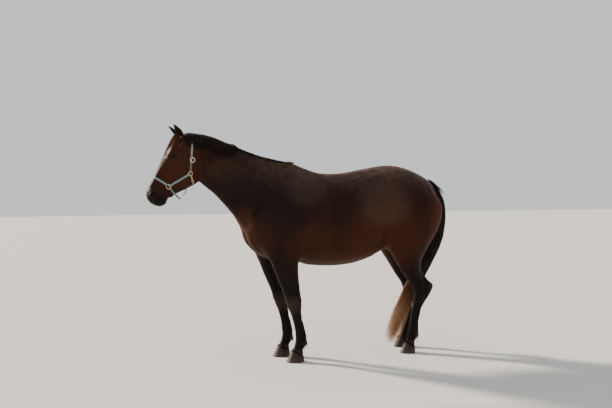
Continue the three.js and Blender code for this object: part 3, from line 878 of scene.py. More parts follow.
# the markings of a dark bay, the same on skin and on coat
def bayMarkings(finish, streaks, contrast=0.3):
    height = finish.axis("Z")
    broad = finish.noise(2.4, 4.0, 0.55)
    fine = finish.noise(24.0, 3.0, 0.6)
    uneven = (broad - 0.5) * 0.45 + (fine - 0.5) * 0.16
    colour = finish.mix(finish.rise(broad, 0.3, 0.72), bay["brown"], bay["deep"])

    def lay(group, colour):
        for middle, radii, over, share in patches[group]:
            for side in (1, -1) if abs(middle[1]) > 0.01 else (1,):
                mask = finish.rise(finish.spot(mirrored(middle, side), radii) + uneven, 0.05, 1.05)
                colour = finish.mix(mask * share, colour, bay[over])
        return colour

    colour = lay("body", colour)
    # a paler band along the top of the back and the croup: partly real dust, partly painted sheen of the sun on
    # the top
    top = finish.rise(height + uneven * 0.35, 1.26, 1.6) * finish.spot(onBody(0.62, 0, 1.5), (1.3, 0.7, 0.6))
    mottled = finish.rise(finish.noise(17.0, 5.0, 0.7), 0.34, 0.7)
    colour = finish.mix(top * (mottled * 0.56 + 0.32), colour, bay["dust_and_sheen"])
    colour = lay("ears", colour)
    # black legs up to above the knees and hocks, with dusty knees and pasterns
    points = 1 - finish.rise(height + uneven * 0.4, 0.5, 0.86)
    colour = lay("legs", finish.mix(points, colour, bay["black"]))
    return finish.mix(finish.rise(streaks, 0.3, 0.75) * contrast, colour, bay["deep"])


coatShine = {"Roughness": 0.5, "Specular_IOR_Level": 0.11, "Sheen_Weight": 0.06, "Sheen_Roughness": 0.3,
             "Sheen_Tint": (1.0, 0.34, 0.12, 1)}


def makeCoatFinish():
    finish = Finish("bay coat", **coatShine)
    down = finish.rise(finish.axis("Z"), 0.7, 0.95)
    lying = finish.noise(62.0, 3.0, 0.6, (1.0, 7.0, 7.0))
    standing = finish.noise(62.0, 3.0, 0.6, (8.0, 8.0, 1.0))
    streaks = lying * down + standing * (1 - down)
    onFace = finish.rise(finish.axis("X") * -1, -pollX + 0.02, -pollX + 0.12)
    downward = finish.noise(78.0, 3.0, 0.6, (7.0, 7.0, 1.0), tip=-faceTilt)
    streaks = downward * onFace + streaks * (1 - onFace)
    colour = bayMarkings(finish, streaks)
    tips = finish.noise(420.0, 2.0, 0.5, (1.0, 3.0, 2.0))
    height = streaks * 0.8 + tips * 0.2
    gloss = 0.4 + finish.noise(5.0, 3.0) * 0.18 + streaks * 0.1
    return finish.wear(Base_Color=colour, Roughness=gloss, Normal=finish.bump(height, 0.4, 0.0014))


coatFinish = makeCoatFinish()
skinPiece.data.materials.append(coatFinish)
skinTree = BVHTree.FromObject(skinPiece, bpy.context.evaluated_depsgraph_get())


# nearest places on the skin, and the ways straight off it
def ontoSkin(points):
    found = [skinTree.find_nearest(Vector(point)) for point in points]
    return np.array([tuple(hit[0]) for hit in found]), np.array([tuple(hit[1]) for hit in found])


def castToSkin(origin, way):
    return np.array(skinTree.ray_cast(Vector(origin), Vector(way))[0])


# where a place on the side of the head meets the skin, and the way straight off it there
def onSide(s, t, side=-1):
    seat = castToSkin(onHead(s, t, 0.25 * side), (0, -side, 0))
    return seat, ontoSkin([seat])[1][0]


# places on the skin straight below
def fromAbove(x, y):
    return np.array([castToSkin((*place, 1.95), (0, 0, -1)) for place in zip(x + footX, y)])


def makeEyeFinish(name, side):
    middle, out, along, up = eyeSeat(side)
    finish = Finish(name, Roughness=0.06, IOR=1.34, Specular_IOR_Level=0.09)
    away = finish.awayFrom(middle)
    aside = [finish.vector("DOT_PRODUCT", away, tuple(way), out="Value") for way in (along, up)]
    across = (aside[0] ** 2 + aside[1] ** 2) ** 0.5
    pupil = ((aside[0] * 0.55) ** 2 + aside[1] ** 2) ** 0.5
    rays = finish.noise(900.0, 2.0)
    iris = finish.mix(rays, (0.016, 0.006, 0.0024, 1), (0.008, 0.0032, 0.0016, 1))
    iris = finish.mix(finish.rise(pupil, 0.0046, 0.006), (0.002, 0.002, 0.003, 1), iris)
    white = finish.mix(finish.rise(across, 0.016, 0.0185), iris, (0.06, 0.032, 0.022, 1))
    rim = finish.rise(across, 0.0135, 0.0155) * (1 - finish.rise(across, 0.0158, 0.0175))
    return finish.wear(Base_Color=finish.mix(rim, white, (0.006, 0.005, 0.005, 1)))


def makeRimFinish():
    finish = Finish("lid rim", Roughness=0.22, Coat_Weight=0.5, Coat_Roughness=0.1)
    grain = finish.noise(1300.0, 3.0, 0.6)
    colour = finish.mix(grain, (0.01, 0.008, 0.008, 1), (0.028, 0.02, 0.018, 1))
    return finish.wear(Base_Color=colour, Normal=finish.bump(grain, 0.4, 0.0003))


rimFinish = makeRimFinish()


def makeEye(name, side):
    middle, out, *rest = eyeSeat(side)
    bm = bmesh.new()
    bmesh.ops.create_uvsphere(bm, u_segments=48, v_segments=32, radius=eye["radius"])
    for vert in bm.verts:   # the clear front bulges
        front = max(0.0, vert.co.normalized().z - 0.8) / 0.2
        vert.co.z += 0.0013 * front ** 1.5
    setInPlace(bm, facing(out), middle)
    ball = pieceFrom(name + "_ball", bm)
    ball.data.materials.append(makeEyeFinish(name, side))
    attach(ball, "root")
    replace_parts(ball, name)

    # the wet dark rim of the lids
    line = bpy.data.curves.new(name + "_rim", "CURVE")
    line.dimensions = "3D"
    line.bevel_depth = eye["rim"] / 2
    line.bevel_resolution = 3
    angle = np.linspace(0, 2 * np.pi, eye["rimSteps"], endpoint=False)
    p = eye["half"] * np.cos(angle)
    q = np.where(np.sin(angle) > 0, eye["upper"], -eye["lower"]) * eyeBow(p)
    spline = line.splines.new("POLY")
    spline.points.add(len(p) - 1)
    for point, place in zip(spline.points, onBall(side, p, q, 0.0006)):
        point.co = (*place, 1)
    spline.use_cyclic_u = True
    curve = newPiece(name + "_curve", line)
    rim = newPiece(name + "_rim", bpy.data.meshes.new_from_object(curve))
    bpy.data.objects.remove(curve)
    smoothShade(rim.data)
    rim.data.materials.clear()
    rim.data.materials.append(rimFinish)
    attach(rim, "root")


for name, side in (("eye_left", -1), ("eye_right", 1)):
    makeEye(name, side)
print("eyes ready")


hoof = {
    "around": 44,
    "levels": 18,
    # from its heart to the toe, the heel and the side, at the ground and at the top
    "fore": {"toe": (0.078, 0.0375), "heel": (0.068, 0.0655), "half": (0.0635, 0.0432)},
    "hind": {"toe": (0.077, 0.039), "heel": (0.055, 0.057), "half": (0.0585, 0.0402)},
    "coronet": (0.085, 0.042),      # height of the hair line at the toe and at the heel
    "rings": 7,
    "frog": [(0.01, 0), (0.012, -0.005), (0.014, -0.003)],     # steps in from the sole's edge, and down
}
feet = [("forehoof_left", "fore", -1), ("forehoof_right", "fore", 1), ("hindhoof_left", "hind", -1),
        ("hindhoof_right", "hind", 1)]


def makeHoofFinish():
    finish = Finish("hoof horn", Roughness=0.42, Specular_IOR_Level=0.22)
    height = finish.axis("Z")
    growth = finish.noise(90.0, 3.0, 0.6, (0.25, 0.25, 3.0))
    streaks = finish.noise(160.0, 3.0, 0.55, (3.0, 3.0, 0.12))
    colour = finish.mix(finish.rise(streaks, 0.35, 0.7), (0.01, 0.006, 0.0042, 1), (0.043, 0.025, 0.016, 1))
    colour = finish.mix((1 - finish.rise(height, 0.0, 0.045)) * 0.6, colour, (0.052, 0.035, 0.023, 1))
    dirt = finish.rise(finish.noise(38.0, 4.0, 0.6), 0.52, 0.72)
    colour = finish.mix(dirt * 0.45, colour, (0.046, 0.034, 0.022, 1))
    bump = finish.bump(growth * 0.6 + streaks * 0.4, 0.38, 0.0016)
    return finish.wear(Base_Color=colour, Roughness=0.36 + growth * 0.25, Normal=bump)


hoofFinish = makeHoofFinish()


# the middle of a hoof on the ground
def heartOf(node, end):
    low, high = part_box(node)
    return np.array((low.x + hoof[end]["toe"][0], (low.y + high.y) / 2, 0))


def coronetAt(front):
    top, back = hoof["coronet"]
    return back + (top - back) * front


# a hoof's outline at a share of its height: round at the toe, straighter towards the heels
def hoofAt(end, angle, share):
    toe, heel, half = (low + (high - low) * share for low, high in hoof[end].values())
    front = math.cos(angle) > 0
    along = abs(math.cos(angle)) ** (1.0 if front else 0.8)
    cleft = 0.1 * math.exp(-((abs(angle) - math.pi) / 0.16) ** 2)
    x = -toe * along if front else heel * along * (1 - cleft)
    y = half * math.sin(angle) * (1 if front else 1 - 0.12 * along)
    flare = 1 + 0.007 * math.sin(share * hoof["rings"] * 2 * math.pi)
    return Vector((x * flare, y * flare, coronetAt(0.5 + 0.5 * math.cos(angle)) * share))


def makeHoof(node, end):
    heart = Vector(heartOf(node, end))
    bm = bmesh.new()
    bmesh.ops.create_circle(bm, cap_ends=True, segments=hoof["around"], radius=1)
    bmesh.ops.reverse_faces(bm, faces=bm.faces)
    wall = bm.edges[:]
    levels = [bm.verts[:]]
    for step in range(hoof["levels"]):
        grown = bmesh.ops.extrude_edge_only(bm, edges=wall)["geom"]
        wall = [item for item in grown if isinstance(item, bmesh.types.BMEdge)]
        levels.append(onlyVerts(grown))
    for level, verts in enumerate(levels):
        for vert in verts:
            angle = math.atan2(vert.co.y, -vert.co.x)
            vert.co = heart + hoofAt(end, angle, level / hoof["levels"])
    lid = bmesh.ops.contextual_create(bm, geom=wall)["faces"]
    bmesh.ops.recalc_face_normals(bm, faces=bm.faces)
    # the coronet is rounded in, and the sole hollows a little round the frog
    bmesh.ops.inset_region(bm, faces=lid, thickness=0.006, depth=0.003)
    sole = [face for face in bm.faces if face.normal.z < -0.9 and len(face.verts) == hoof["around"]]
    for thickness, depth in hoof["frog"]:
        bmesh.ops.inset_region(bm, faces=sole, thickness=thickness, depth=depth)
    piece = pieceFrom(node.replace("hoof", "_horn"), bm)
    sharp = piece.modifiers.new("edges", "EDGE_SPLIT")
    sharp.split_angle = math.radians(50)
    settle(piece)
    piece.data.materials.append(hoofFinish)
    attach(piece, "root")
    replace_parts(piece, node)


for node, end, side in feet:
    makeHoof(node, end)
print("hooves ready")


# all hair is bent from a straight three-sided lock, its corners and faces
def lockPattern(stations, tip=1, turn=0.0):
    bm = bmesh.new()
    bmesh.ops.create_cone(bm, cap_ends=True, segments=3, radius1=1, radius2=tip, depth=1)
    setInPlace(bm, Matrix.Rotation(turn, 3, "Z"), (0, 0, 0.5))
    for step in range(1, stations - 1):
        bmesh.ops.bisect_plane(bm, geom=bm.verts[:] + bm.edges[:] + bm.faces[:],
                               plane_co=(0, 0, step / (stations - 1)), plane_no=(0, 0, 1))
    bmesh.ops.triangulate(bm, faces=bm.faces)
    bm.verts.index_update()
    points = np.array([tuple(vert.co) for vert in bm.verts])
    faces = np.array([[vert.index for vert in face.verts] for face in bm.faces])
    bm.free()
    return points, faces


# repeats the pattern along many paths at once. Roots are the locks' places on the bake map
def layLocks(name, pattern, paths, lifts, wide, thick, roots, patch=0.003, shade=None, tones=None):
    shape, faces = pattern
    stations = paths.shape[1]
    tangent = unit(np.gradient(paths, axis=1))
    side = unit(np.cross(lifts, tangent))
    up = np.cross(tangent, side)
    ring = np.rint(shape[:, 2] * (stations - 1)).astype(int)
    points = paths[:, ring] + side[:, ring] * (shape[:, 0] * wide[:, ring])[..., None]
    points = points + up[:, ring] * (shape[:, 1] * thick[:, ring])[..., None]
    count = len(paths)
    corners = (faces[None] + np.arange(count)[:, None, None] * len(shape)).reshape(-1)
    mesh = bpy.data.meshes.new(name)
    mesh.vertices.add(count * len(shape))
    mesh.vertices.foreach_set("co", points.astype(np.float32).ravel())
    mesh.loops.add(len(corners))
    mesh.loops.foreach_set("vertex_index", corners.astype(np.int32))
    mesh.polygons.add(len(corners) // 3)
    mesh.polygons.foreach_set("loop_start", np.arange(0, len(corners), 3, dtype=np.int32))
    mesh.update(calc_edges=True)
    spread = np.stack([shape[:, 0] * 0.5, shape[:, 2] - 0.5], axis=1) * patch
    flat = (roots[:, None] + spread[None]).reshape(-1, 2)[corners]
    mesh.uv_layers.new(name="OFBake").data.foreach_set("uv", flat.astype(np.float32).ravel())
    strand = np.repeat(luck.random(count) if tones is None else tones, len(shape))
    for label, values in (("strand", strand), ("along", np.tile(shape[:, 2], count))):
        mesh.attributes.new(label, "FLOAT", "POINT").data.foreach_set("value", values.astype(np.float32))
    smoothShade(mesh)
    mesh.update()
    if shade is not None:   # short tufts take the light as the skin under them does
        mesh.normals_split_custom_set_from_vertices(np.repeat(shade, len(shape), axis=0))
    print(name + ":", count, "locks,", len(mesh.polygons), "triangles")
    return newPiece(name, mesh)


# how a lock thins from its root to its tip
def taper(stations, full, tip=0.12):
    along = np.linspace(0, 1, stations)
    return full[:, None] * (tip + (1 - tip) * (1 - along ** 2.2))[None]


hairSteps = 7
longHair = lockPattern(hairSteps)


# walks paths over the skin: each step goes along the way asked for, back to the skin and up by the height
def walkOnSkin(starts, ways, lengths, heights):
    at, off = ontoSkin(starts)
    paths, lifts = [at + off * heights(0.0)[:, None]], [off]
    for along in np.linspace(0, 1, hairSteps)[1:]:
        way = squareTo(ways(at, along), off)
        at, off = ontoSkin(at + way * (lengths / (hairSteps - 1))[:, None])
        off = unit(off * 0.6 + lifts[-1] * 0.4)
        paths.append(at + off * heights(along)[:, None])
        lifts.append(off)
    return np.stack(paths, axis=1), np.stack(lifts, axis=1)


tailFoot = footX + 0.86


# lowEnds: the heights where the hair turns rusty and blond
# tips: how strongly the tips are paled, partly real sun-bleaching and partly painted backlight, from what share
# of its length and to what colour
def makeHairFinish(name, lowEnds=None, tips=None):
    finish = Finish(name, Roughness=0.38, Specular_IOR_Level=0.22)
    strand = finish.attribute("strand")
    streaks = finish.noise(140.0, 3.0, 0.6, (3.0, 3.0, 0.4))
    colour = finish.mix(strand * 0.7 + streaks * 0.3, (0.0052, 0.0036, 0.0034, 1), (0.019, 0.0098, 0.0066, 1))
    if lowEnds:
        rusty, blond = lowEnds
        # how far it is behind the middle of the tail's low end
        backward = finish.axis("X") - finish.axis("Z") * 0.34 - tailFoot
        height = finish.axis("Z") + backward * 1.3 + (strand - 0.5) * 0.34 + (streaks - 0.5) * 0.06
        light = finish.rise(strand, 0.15, 0.85)
        tone = finish.mix(light, (0.05, 0.017, 0.009, 1), (0.3, 0.125, 0.056, 1))
        colour = finish.mix(1 - finish.rise(height, rusty, rusty + 0.26), colour, tone)
        tone = finish.mix(light, (0.16, 0.058, 0.026, 1), (0.66, 0.38, 0.205, 1))
        colour = finish.mix(1 - finish.rise(height, blond, blond + 0.28), colour, tone)
    if tips:
        # the pale tips are partly real sun-bleaching and partly painted sunlight shining through the hair
        strength, start, bleachedAndSunlitColour = tips
        bleachedAndSunlit = finish.rise(finish.attribute("along") + (strand - 0.5) * 0.5, start, start + 0.55)
        colour = finish.mix(bleachedAndSunlit * strength, colour, bleachedAndSunlitColour)
    bump = finish.bump(streaks, 0.4, 0.0006)
    return finish.wear(Base_Color=colour, Roughness=0.42 + streaks * 0.2, Normal=bump)


mane = {
    "front": -0.85, "back": -0.01,
    "turnover": -0.49,      # ahead of here it falls to the left, behind it to the right
    "toTheLeft": (0.86, 0.1),       # shares of the hair that do so, ahead of the turnover and behind it
    "short": (0.03, 0.05),          # length of the other hair, on the left and on the right
    "uneven": (0.72, 1.1),          # how the lengths vary
    "lean": (0.1, 0.16), "curl": (0, 0.25),     # backward, with their spread
    "locks": 4700,
    "wide": 0.0013, "thick": 0.0008,
    "depthAt": [-0.86, -0.8, -0.74, -0.68, -0.6, -0.53, -0.48],
    "depth": [0.12, 0.148, 0.125, 0.104, 0.114, 0.098, 0.07],
    "crest": 0.0185,        # how high the tallest hair stands off the neck
    "bump": (-0.488, 0.03, 0.01),     # a heap of hair at the turnover: where, how long and how high
    "rise": ([0, 0.17, 0.34, 0.6, 1], [0.25, 0.9, 1.0, 0.8, 0.35]),    # its height off the neck, along it
}


def makeMane():
    count = mane["locks"]
    x = luck.uniform(mane["front"], mane["back"], count)
    ahead = x < mane["turnover"]
    left = np.where(ahead, *(luck.random(count) < share for share in mane["toTheLeft"]))
    side = np.where(left, -1.0, 1.0)
    starts = fromAbove(x, side * luck.uniform(-0.012, 0.016, count))
    deep = np.interp(x, mane["depthAt"], mane["depth"])
    lengths = np.where(left & ahead, deep, np.where(left, *mane["short"]))
    lengths = lengths * luck.uniform(*mane["uneven"], count)
    lean = luck.normal(*mane["lean"], count) + 0.1 * np.sin(x * 46)
    where, reach, high = mane["bump"]
    heap = np.exp(-((x - where) / reach) ** 2) * high
    tall = luck.uniform(0.002, 1, count) * mane["crest"] * np.interp(x, [-0.5, -0.3], [1, 0.6]) + heap
    curl = luck.normal(*mane["curl"], count)

    def ways(at, along):
        aside, down = side * (1.1 - 0.5 * along), np.full(count, -0.9 - along)
        return np.stack([lean + curl * along, aside, down], axis=1)

    def heights(along):
        return tall * np.interp(along, *mane["rise"]) + 0.0006

    paths, lifts = walkOnSkin(starts, ways, lengths, heights)
    wide = taper(hairSteps, luck.uniform(0.7, 1.35, count) * mane["wide"])
    thick = taper(hairSteps, luck.uniform(0.8, 1.2, count) * mane["thick"])
    share = (x - mane["front"]) / (mane["back"] - mane["front"])
    roots = np.stack([share, luck.uniform(0.02, 0.98, count)], axis=1) * 0.98 + 0.01
    piece = layLocks("mane_hair", longHair, paths, lifts, wide, thick, roots)
    piece.data.materials.append(hairFinish)
    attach(piece, "root")
    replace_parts(piece, "mane")


# places for locks on the bake map
def spreadOnMap(count):
    return np.stack([luck.uniform(0.01, 0.99, count), luck.uniform(0.01, 0.99, count)], axis=1)


wisps = {
    "locks": 420,
    "onNeck": 320,          # of these, and the others are the tuft on the withers
    "neck": (-0.47, -0.03),
    "withers": (-0.045, 0.012),
    "length": (0.018, 0.042), "tuftLonger": 0.008,
    "wide": 0.0017, "thick": 0.0009,
    "back": (0.75, 0.3), "aside": (0.35, 0.25), "up": 0.55,     # its ways, with their spread
    "droop": 0.45,
    # pale tips: partly real sun-bleaching and partly painted backlight
    "tips": (0.6, 0.3, (0.3, 0.17, 0.095, 1)),
}


# short hair that stands up behind the turnover
def makeWisps():
    count = wisps["locks"]
    tuftOn = np.arange(count) >= wisps["onNeck"]
    x = np.where(tuftOn, luck.uniform(*wisps["withers"], count), luck.uniform(*wisps["neck"], count))
    starts = fromAbove(x, luck.uniform(-0.006, 0.016, count))
    length = (luck.uniform(*wisps["length"], count) + tuftOn * wisps["tuftLonger"])[:, None]
    along = np.linspace(0, 1, hairSteps)
    back, aside = (luck.normal(*wisps[way], count) for way in ("back", "aside"))
    way = np.stack([back, aside, np.full(count, wisps["up"])], axis=1)
    paths = starts[:, None] + unit(way)[:, None] * (length * along)[..., None]
    paths[:, :, 2] -= length * wisps["droop"] * along ** 2
    lifts = np.broadcast_to(np.array((0, 0, 1.0)), paths.shape)
    wide, thick = (taper(hairSteps, np.full(count, wisps[size])) for size in ("wide", "thick"))
    piece = layLocks("mane_wisps", longHair, paths, lifts, wide, thick, spreadOnMap(count))
    piece.data.materials.append(makeHairFinish("wisps", tips=wisps["tips"]))
    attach(piece, "root")


forelock = {
    "locks": 1100,
    "root": (0.018, 0.03),  # down the face and out from it
    "rise": ([0, 0.16, 0.34, 0.6, 1], [0.35, 0.95, 0.85, 0.4, 0.14]),    # its height off the skin, along it
    "across": (-0.005, 0.018),      # where it grows across the head, with the spread
    "ends": (0.6, -0.036),  # its ends keep this share of their place across, and lie this far aside
    "tall": (0.004, 0.04),
    "length": (0.08, 0.15),     # the shortest, and how much longer the longest is
    "wide": (0.0005, 0.001), "thick": 0.0005,
    # pale tips: partly real sun-bleaching and partly painted backlight
    "tips": (0.68, 0.1, (0.22, 0.098, 0.044, 1)),
}


def makeForelock():
    count = forelock["locks"]
    y = luck.normal(*forelock["across"], count)
    starts = np.array([onHead(*forelock["root"], value) for value in y])
    keep, aside = forelock["ends"]
    tip = y * keep + aside
    down = np.array(downFace) + np.array(offFace) * 0.25

    def ways(at, along):
        return down + np.outer((tip - at[:, 1]) * 6.6, (0, 1, 0))

    tall = luck.uniform(*forelock["tall"], count) * np.exp(-(y / 0.03) ** 2)

    def heights(along):
        return tall * np.interp(along, *forelock["rise"]) + 0.0006

    short, more = forelock["length"]
    lengths = short + more * luck.random(count) ** 0.7
    paths, lifts = walkOnSkin(starts, ways, lengths, heights)
    wide = taper(hairSteps, luck.uniform(*forelock["wide"], count))
    thick = taper(hairSteps, np.full(count, forelock["thick"]))
    piece = layLocks("forelock_hair", longHair, paths, lifts, wide, thick, spreadOnMap(count))
    piece.data.materials.append(makeHairFinish("forelock hair", tips=forelock["tips"]))
    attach(piece, "root")
    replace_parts(piece, "forelock")


tail = {
    "locks": 2200,
    # the tail's middle line from the dock to its end, with its half depth and half width, in millimetres
    "x": [1240, 1304, 1328, 1343, 1331, 1287, 1238, 1185, 1128, 1071, 1013, 955, 912, 888, 880],
    "z": [1432, 1378, 1270, 1120, 1000, 870, 780, 690, 600, 510, 400, 280, 170, 95, 60],
    "deep": [10, 32, 60, 64, 62, 57, 53, 56, 61, 70, 72, 74, 75, 74, 70],
    "half": [18, 26, 42, 56, 58, 52, 42, 35, 32, 33, 35, 37, 36, 34, 30],
    "marks": 141,           # along the line
    "evenOut": 60,          # times that they are evened out
    "rootsTo": 0.24,        # share of its length where hair grows
    "shortest": 0.62,       # share of its length that the shortest hair ends at
    "wisps": 42,
    "gather": (0.5, 0.95), "gathered": 0.85,    # where along it the hairs draw into wisps, and how much
    "loose": 0.16,          # how far the hairs of a wisp spread
    "wide": (0.0013, 0.003), "thick": (0.0008, 0.0013), "tip": 0.16,
    "lowEnds": (0.45, 0.24),
}
tailSteps = len(tail["x"])
tailHair = lockPattern(tailSteps)


# the tail's middle line with its half depth and half width, and how far along it each mark is
def tailLine():
    x, z, deep, half = (np.array(tail[key]) / 1000 for key in ("x", "z", "deep", "half"))
    line = np.stack([x + footX, np.zeros(tailSteps), z, deep, half], axis=1)
    run = np.concatenate([[0], np.cumsum(np.linalg.norm(np.diff(line[:, :3], axis=0), axis=1))])
    marks = np.linspace(0, run[-1], tail["marks"])
    line = np.stack([np.interp(marks, run, column) for column in line.T], axis=1)
    for step in range(tail["evenOut"]):
        line[1:-1] = line[1:-1] * 0.5 + (line[:-2] + line[2:]) * 0.25
    return line, marks / marks[-1]


def makeTail():
    count = tail["locks"]
    line, run = tailLine()
    start = luck.uniform(0.0, tail["rootsTo"], count) ** 1.15
    low = tail["shortest"]
    end = np.clip(low + (1 - low) * luck.random(count) ** 0.72 + 0.1 * (start - 0.1), 0, 1)
    along = start[:, None] + (end - start)[:, None] * np.linspace(0, 1, tailSteps)[None]

    def at(values):
        return np.interp(along, run, values)

    def around(turn, far):
        return np.stack([far * np.cos(turn), far * np.sin(turn)], axis=1)

    turn = luck.uniform(0, 2 * np.pi, count)
    far = luck.random(count) ** 0.45
    wisp = luck.integers(0, tail["wisps"], count)
    wispTurn = luck.uniform(0, 2 * np.pi, tail["wisps"])[wisp]
    wispFar = (luck.random(tail["wisps"]) ** 0.5)[wisp]
    shared = around(wispTurn, wispFar) + tail["loose"] * luck.normal(0, 1, (count, 2))
    gather = smoothStep(along, *tail["gather"])[..., None] * tail["gathered"]
    place = around(turn, far)[:, None] * (1 - gather) + shared[:, None] * gather
    place = place * (smoothStep(along - start[:, None], 0.0, 0.1)[..., None] * 0.75 + 0.25)
    wave = 0.1 * np.sin(along * luck.uniform(14, 26, count)[:, None] + turn[:, None] * 3)
    middle = np.stack([at(line[:, 0]), np.zeros_like(along), at(line[:, 2])], axis=-1)
    slope = np.gradient(line[:, 0], run), np.gradient(line[:, 2], run)
    flow = unit(np.stack([at(slope[0]), np.zeros_like(along), at(slope[1])], axis=-1))
    outward = np.cross(flow, (0, 1, 0))
    paths = middle + outward * ((place[..., 0] + wave) * at(line[:, 3]))[..., None]
    paths[..., 1] += (place[..., 1] + wave * 0.6) * at(line[:, 4])
    lifts = outward * place[..., :1] + np.array((0, 1.0, 0)) * place[..., 1:] + 1e-4
    wide, thick = (taper(tailSteps, luck.uniform(*tail[size], count), tail["tip"])
                   for size in ("wide", "thick"))
    cells = int(math.ceil(math.sqrt(count)))
    roots = (np.stack([np.arange(count) % cells, np.arange(count) // cells], axis=1) + 0.5) / cells
    tones = ((wispTurn * 7.3) % 1) * 0.55 + ((turn * 5.1) % 1) * 0.45    # a wisp's hairs are alike
    piece = layLocks("tail_hair", tailHair, paths, lifts, wide, thick, roots, tones=tones)
    piece.data.materials.append(makeHairFinish("tail hair", lowEnds=tail["lowEnds"]))
    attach(piece, "root")
    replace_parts(piece, "tail")


hairFinish = makeHairFinish("mane hair")
makeMane()
makeWisps()
makeForelock()
makeTail()


def unwrapSkin():
    skinPiece.data.uv_layers.new(name="OFBake")
    bpy.context.view_layer.objects.active = skinPiece
    bpy.ops.object.mode_set(mode="EDIT")
    bpy.ops.mesh.select_all(action="SELECT")
    bpy.ops.uv.smart_project(angle_limit=math.radians(66), island_margin=0.003)
    bpy.ops.object.mode_set(mode="OBJECT")
    print("skin unwrapped")


# the short coat is thin tufts that lie along the skin
coat = {
    "tufts": 108000,
    "inPiece": 18000,
    "wide": 0.00068, "thick": 0.00014,
    "body": 0.017, "head": 0.0085, "foot": 0.009,     # lengths
    # where it is longer: the middle, how far round it and by how much
    "long": [((0.42, 0.0, 0.78), 0.4, 0.006), ((0.03, -0.16, 0.9), 0.14, 0.008),
             ((0.03, 0.16, 0.9), 0.14, 0.008), ((0.75, -0.2, 0.92), 0.18, 0.006),
             ((0.75, 0.2, 0.92), 0.18, 0.006)],
    "jaw": [(0.22, -0.24), (0.4, -0.15), (0.5, -0.1)],
    "depth": 0.0016,
    "denserOnHead": 2.6, "denserOnLeg": 1.2,
    "hoofLine": 0.062,      # no roots below this height
    # the ways that it lies
    "lies": {"back": (1.0, 0.0, -0.4), "neck": (0.62, 0, -0.78), "breast": (0.12, 0, -1),
             "rump": (0.34, 0, -0.94), "low": (0.3, 0, -0.95), "leg": (0.1, 0, -1),
             "cheek": (0.35, 0, -0.94)},
}


# which way the coat lies at each place
def lieOfCoat(points):
    x, y, z = points[:, 0] - footX, points[:, 1], points[:, 2]
    head, leg = regionShares(points)
    shares = {
        "neck": smoothStep(-x, 0.1, 0.32) * smoothStep(z, 1.15, 1.35),
        "breast": smoothStep(-x, 0.2, 0.32) * smoothStep(-z, -1.28, -1.12),
        "rump": smoothStep(x, 0.92, 1.12),
        "low": smoothStep(-z, -0.98, -0.82) * 0.8,
        "leg": leg,
    }
    way = np.tile(coat["lies"]["back"], (len(points), 1))
    for part, share in shares.items():
        way = blend(way, coat["lies"][part], share)
    face = blend(np.array(downFace), coat["lies"]["cheek"], smoothStep(x, -1.02, -0.92))
    way = blend(way, face, head)
    way[:, 2] -= 0.35 * np.abs(y) / 0.3 * (1 - head) * (1 - leg)
    return unit(way)


# 1 along the ridge of the back and the loin, where the coat stands up a little
def onRidge(points):
    x, y, z = points[:, 0] - footX, points[:, 1], points[:, 2]
    return np.exp(-(y / 0.1) ** 2) * smoothStep(z, 1.38, 1.46) * smoothStep(x, 0.05, 0.25)


def coatLengths(points):
    head, leg = regionShares(points)
    foot = smoothStep(-points[:, 2], -0.55, -0.1)
    length = coat["body"] + (coat["head"] - coat["body"]) * head
    length = length + (coat["foot"] - length) * np.maximum(leg * 0.6, foot)
    for middle, reach, more in coat["long"]:
        length = length + more * np.exp(-(distanceTo(points, [onBody(*middle)]) / reach) ** 2)
    jaw = distanceTo(points, [onHead(*place) for place in coat["jaw"]])
    return length + 0.007 * np.exp(-(jaw / 0.035) ** 2) + 0.006 * onRidge(points)


# how far a tuft's middle stands off the skin
def liftOfCoat(points):
    head, leg = regionShares(points)
    return coat["depth"] * (1 - 0.68 * head - 0.45 * leg + 1.3 * onRidge(points))


# the coat's roots, the ways off the skin and the places on the bake map. Eyes and nostrils stay bare
def rootsOnSkin(count):
    mesh = skinPiece.data
    mesh.calc_loop_triangles()
    verts, loops = np.empty((2, len(mesh.loop_triangles) * 3), np.int32)
    mesh.loop_triangles.foreach_get("vertices", verts)
    mesh.loop_triangles.foreach_get("loops", loops)
    uv = np.empty(len(mesh.loops) * 2, np.float32)
    mesh.uv_layers["OFBake"].data.foreach_get("uv", uv)
    corners = pointsOf(mesh)[verts].reshape(-1, 3, 3)
    normals = normalsOf(mesh)[verts].reshape(-1, 3, 3)
    flat = uv.reshape(-1, 2)[loops].reshape(-1, 3, 2)
    middle = corners.mean(axis=1)
    area = np.linalg.norm(np.cross(corners[:, 1] - corners[:, 0], corners[:, 2] - corners[:, 0]), axis=1)
    head, leg = regionShares(middle)
    bare = smoothStep(awayFromEyes(middle), 0.024, 0.034)
    for side in (-1, 1):
        bare = bare * smoothStep(distanceTo(middle, [nostrilOn(side)]), 0.016, 0.034)
    density = 1 + coat["denserOnHead"] * head + coat["denserOnLeg"] * leg
    share = np.cumsum(area * density * bare * (middle[:, 2] > coat["hoofLine"]))
    picked = np.searchsorted(share / share[-1], luck.random(count))
    a, b = luck.random(count), luck.random(count)
    a, b = np.where(a + b > 1, 1 - a, a), np.where(a + b > 1, 1 - b, b)
    parts = np.stack([1 - a - b, a, b], axis=1)[..., None]

    def between(values):
        return (values[picked] * parts).sum(1)

    return between(corners), unit(between(normals)), between(flat)


# a short lock, widest at its middle
def tuftPattern():
    points, faces = lockPattern(3, tip=0, turn=math.pi / 2)
    points[:, :2] *= np.where(points[:, 2:] > 0.4, 1.9, 1.0)
    return points, faces


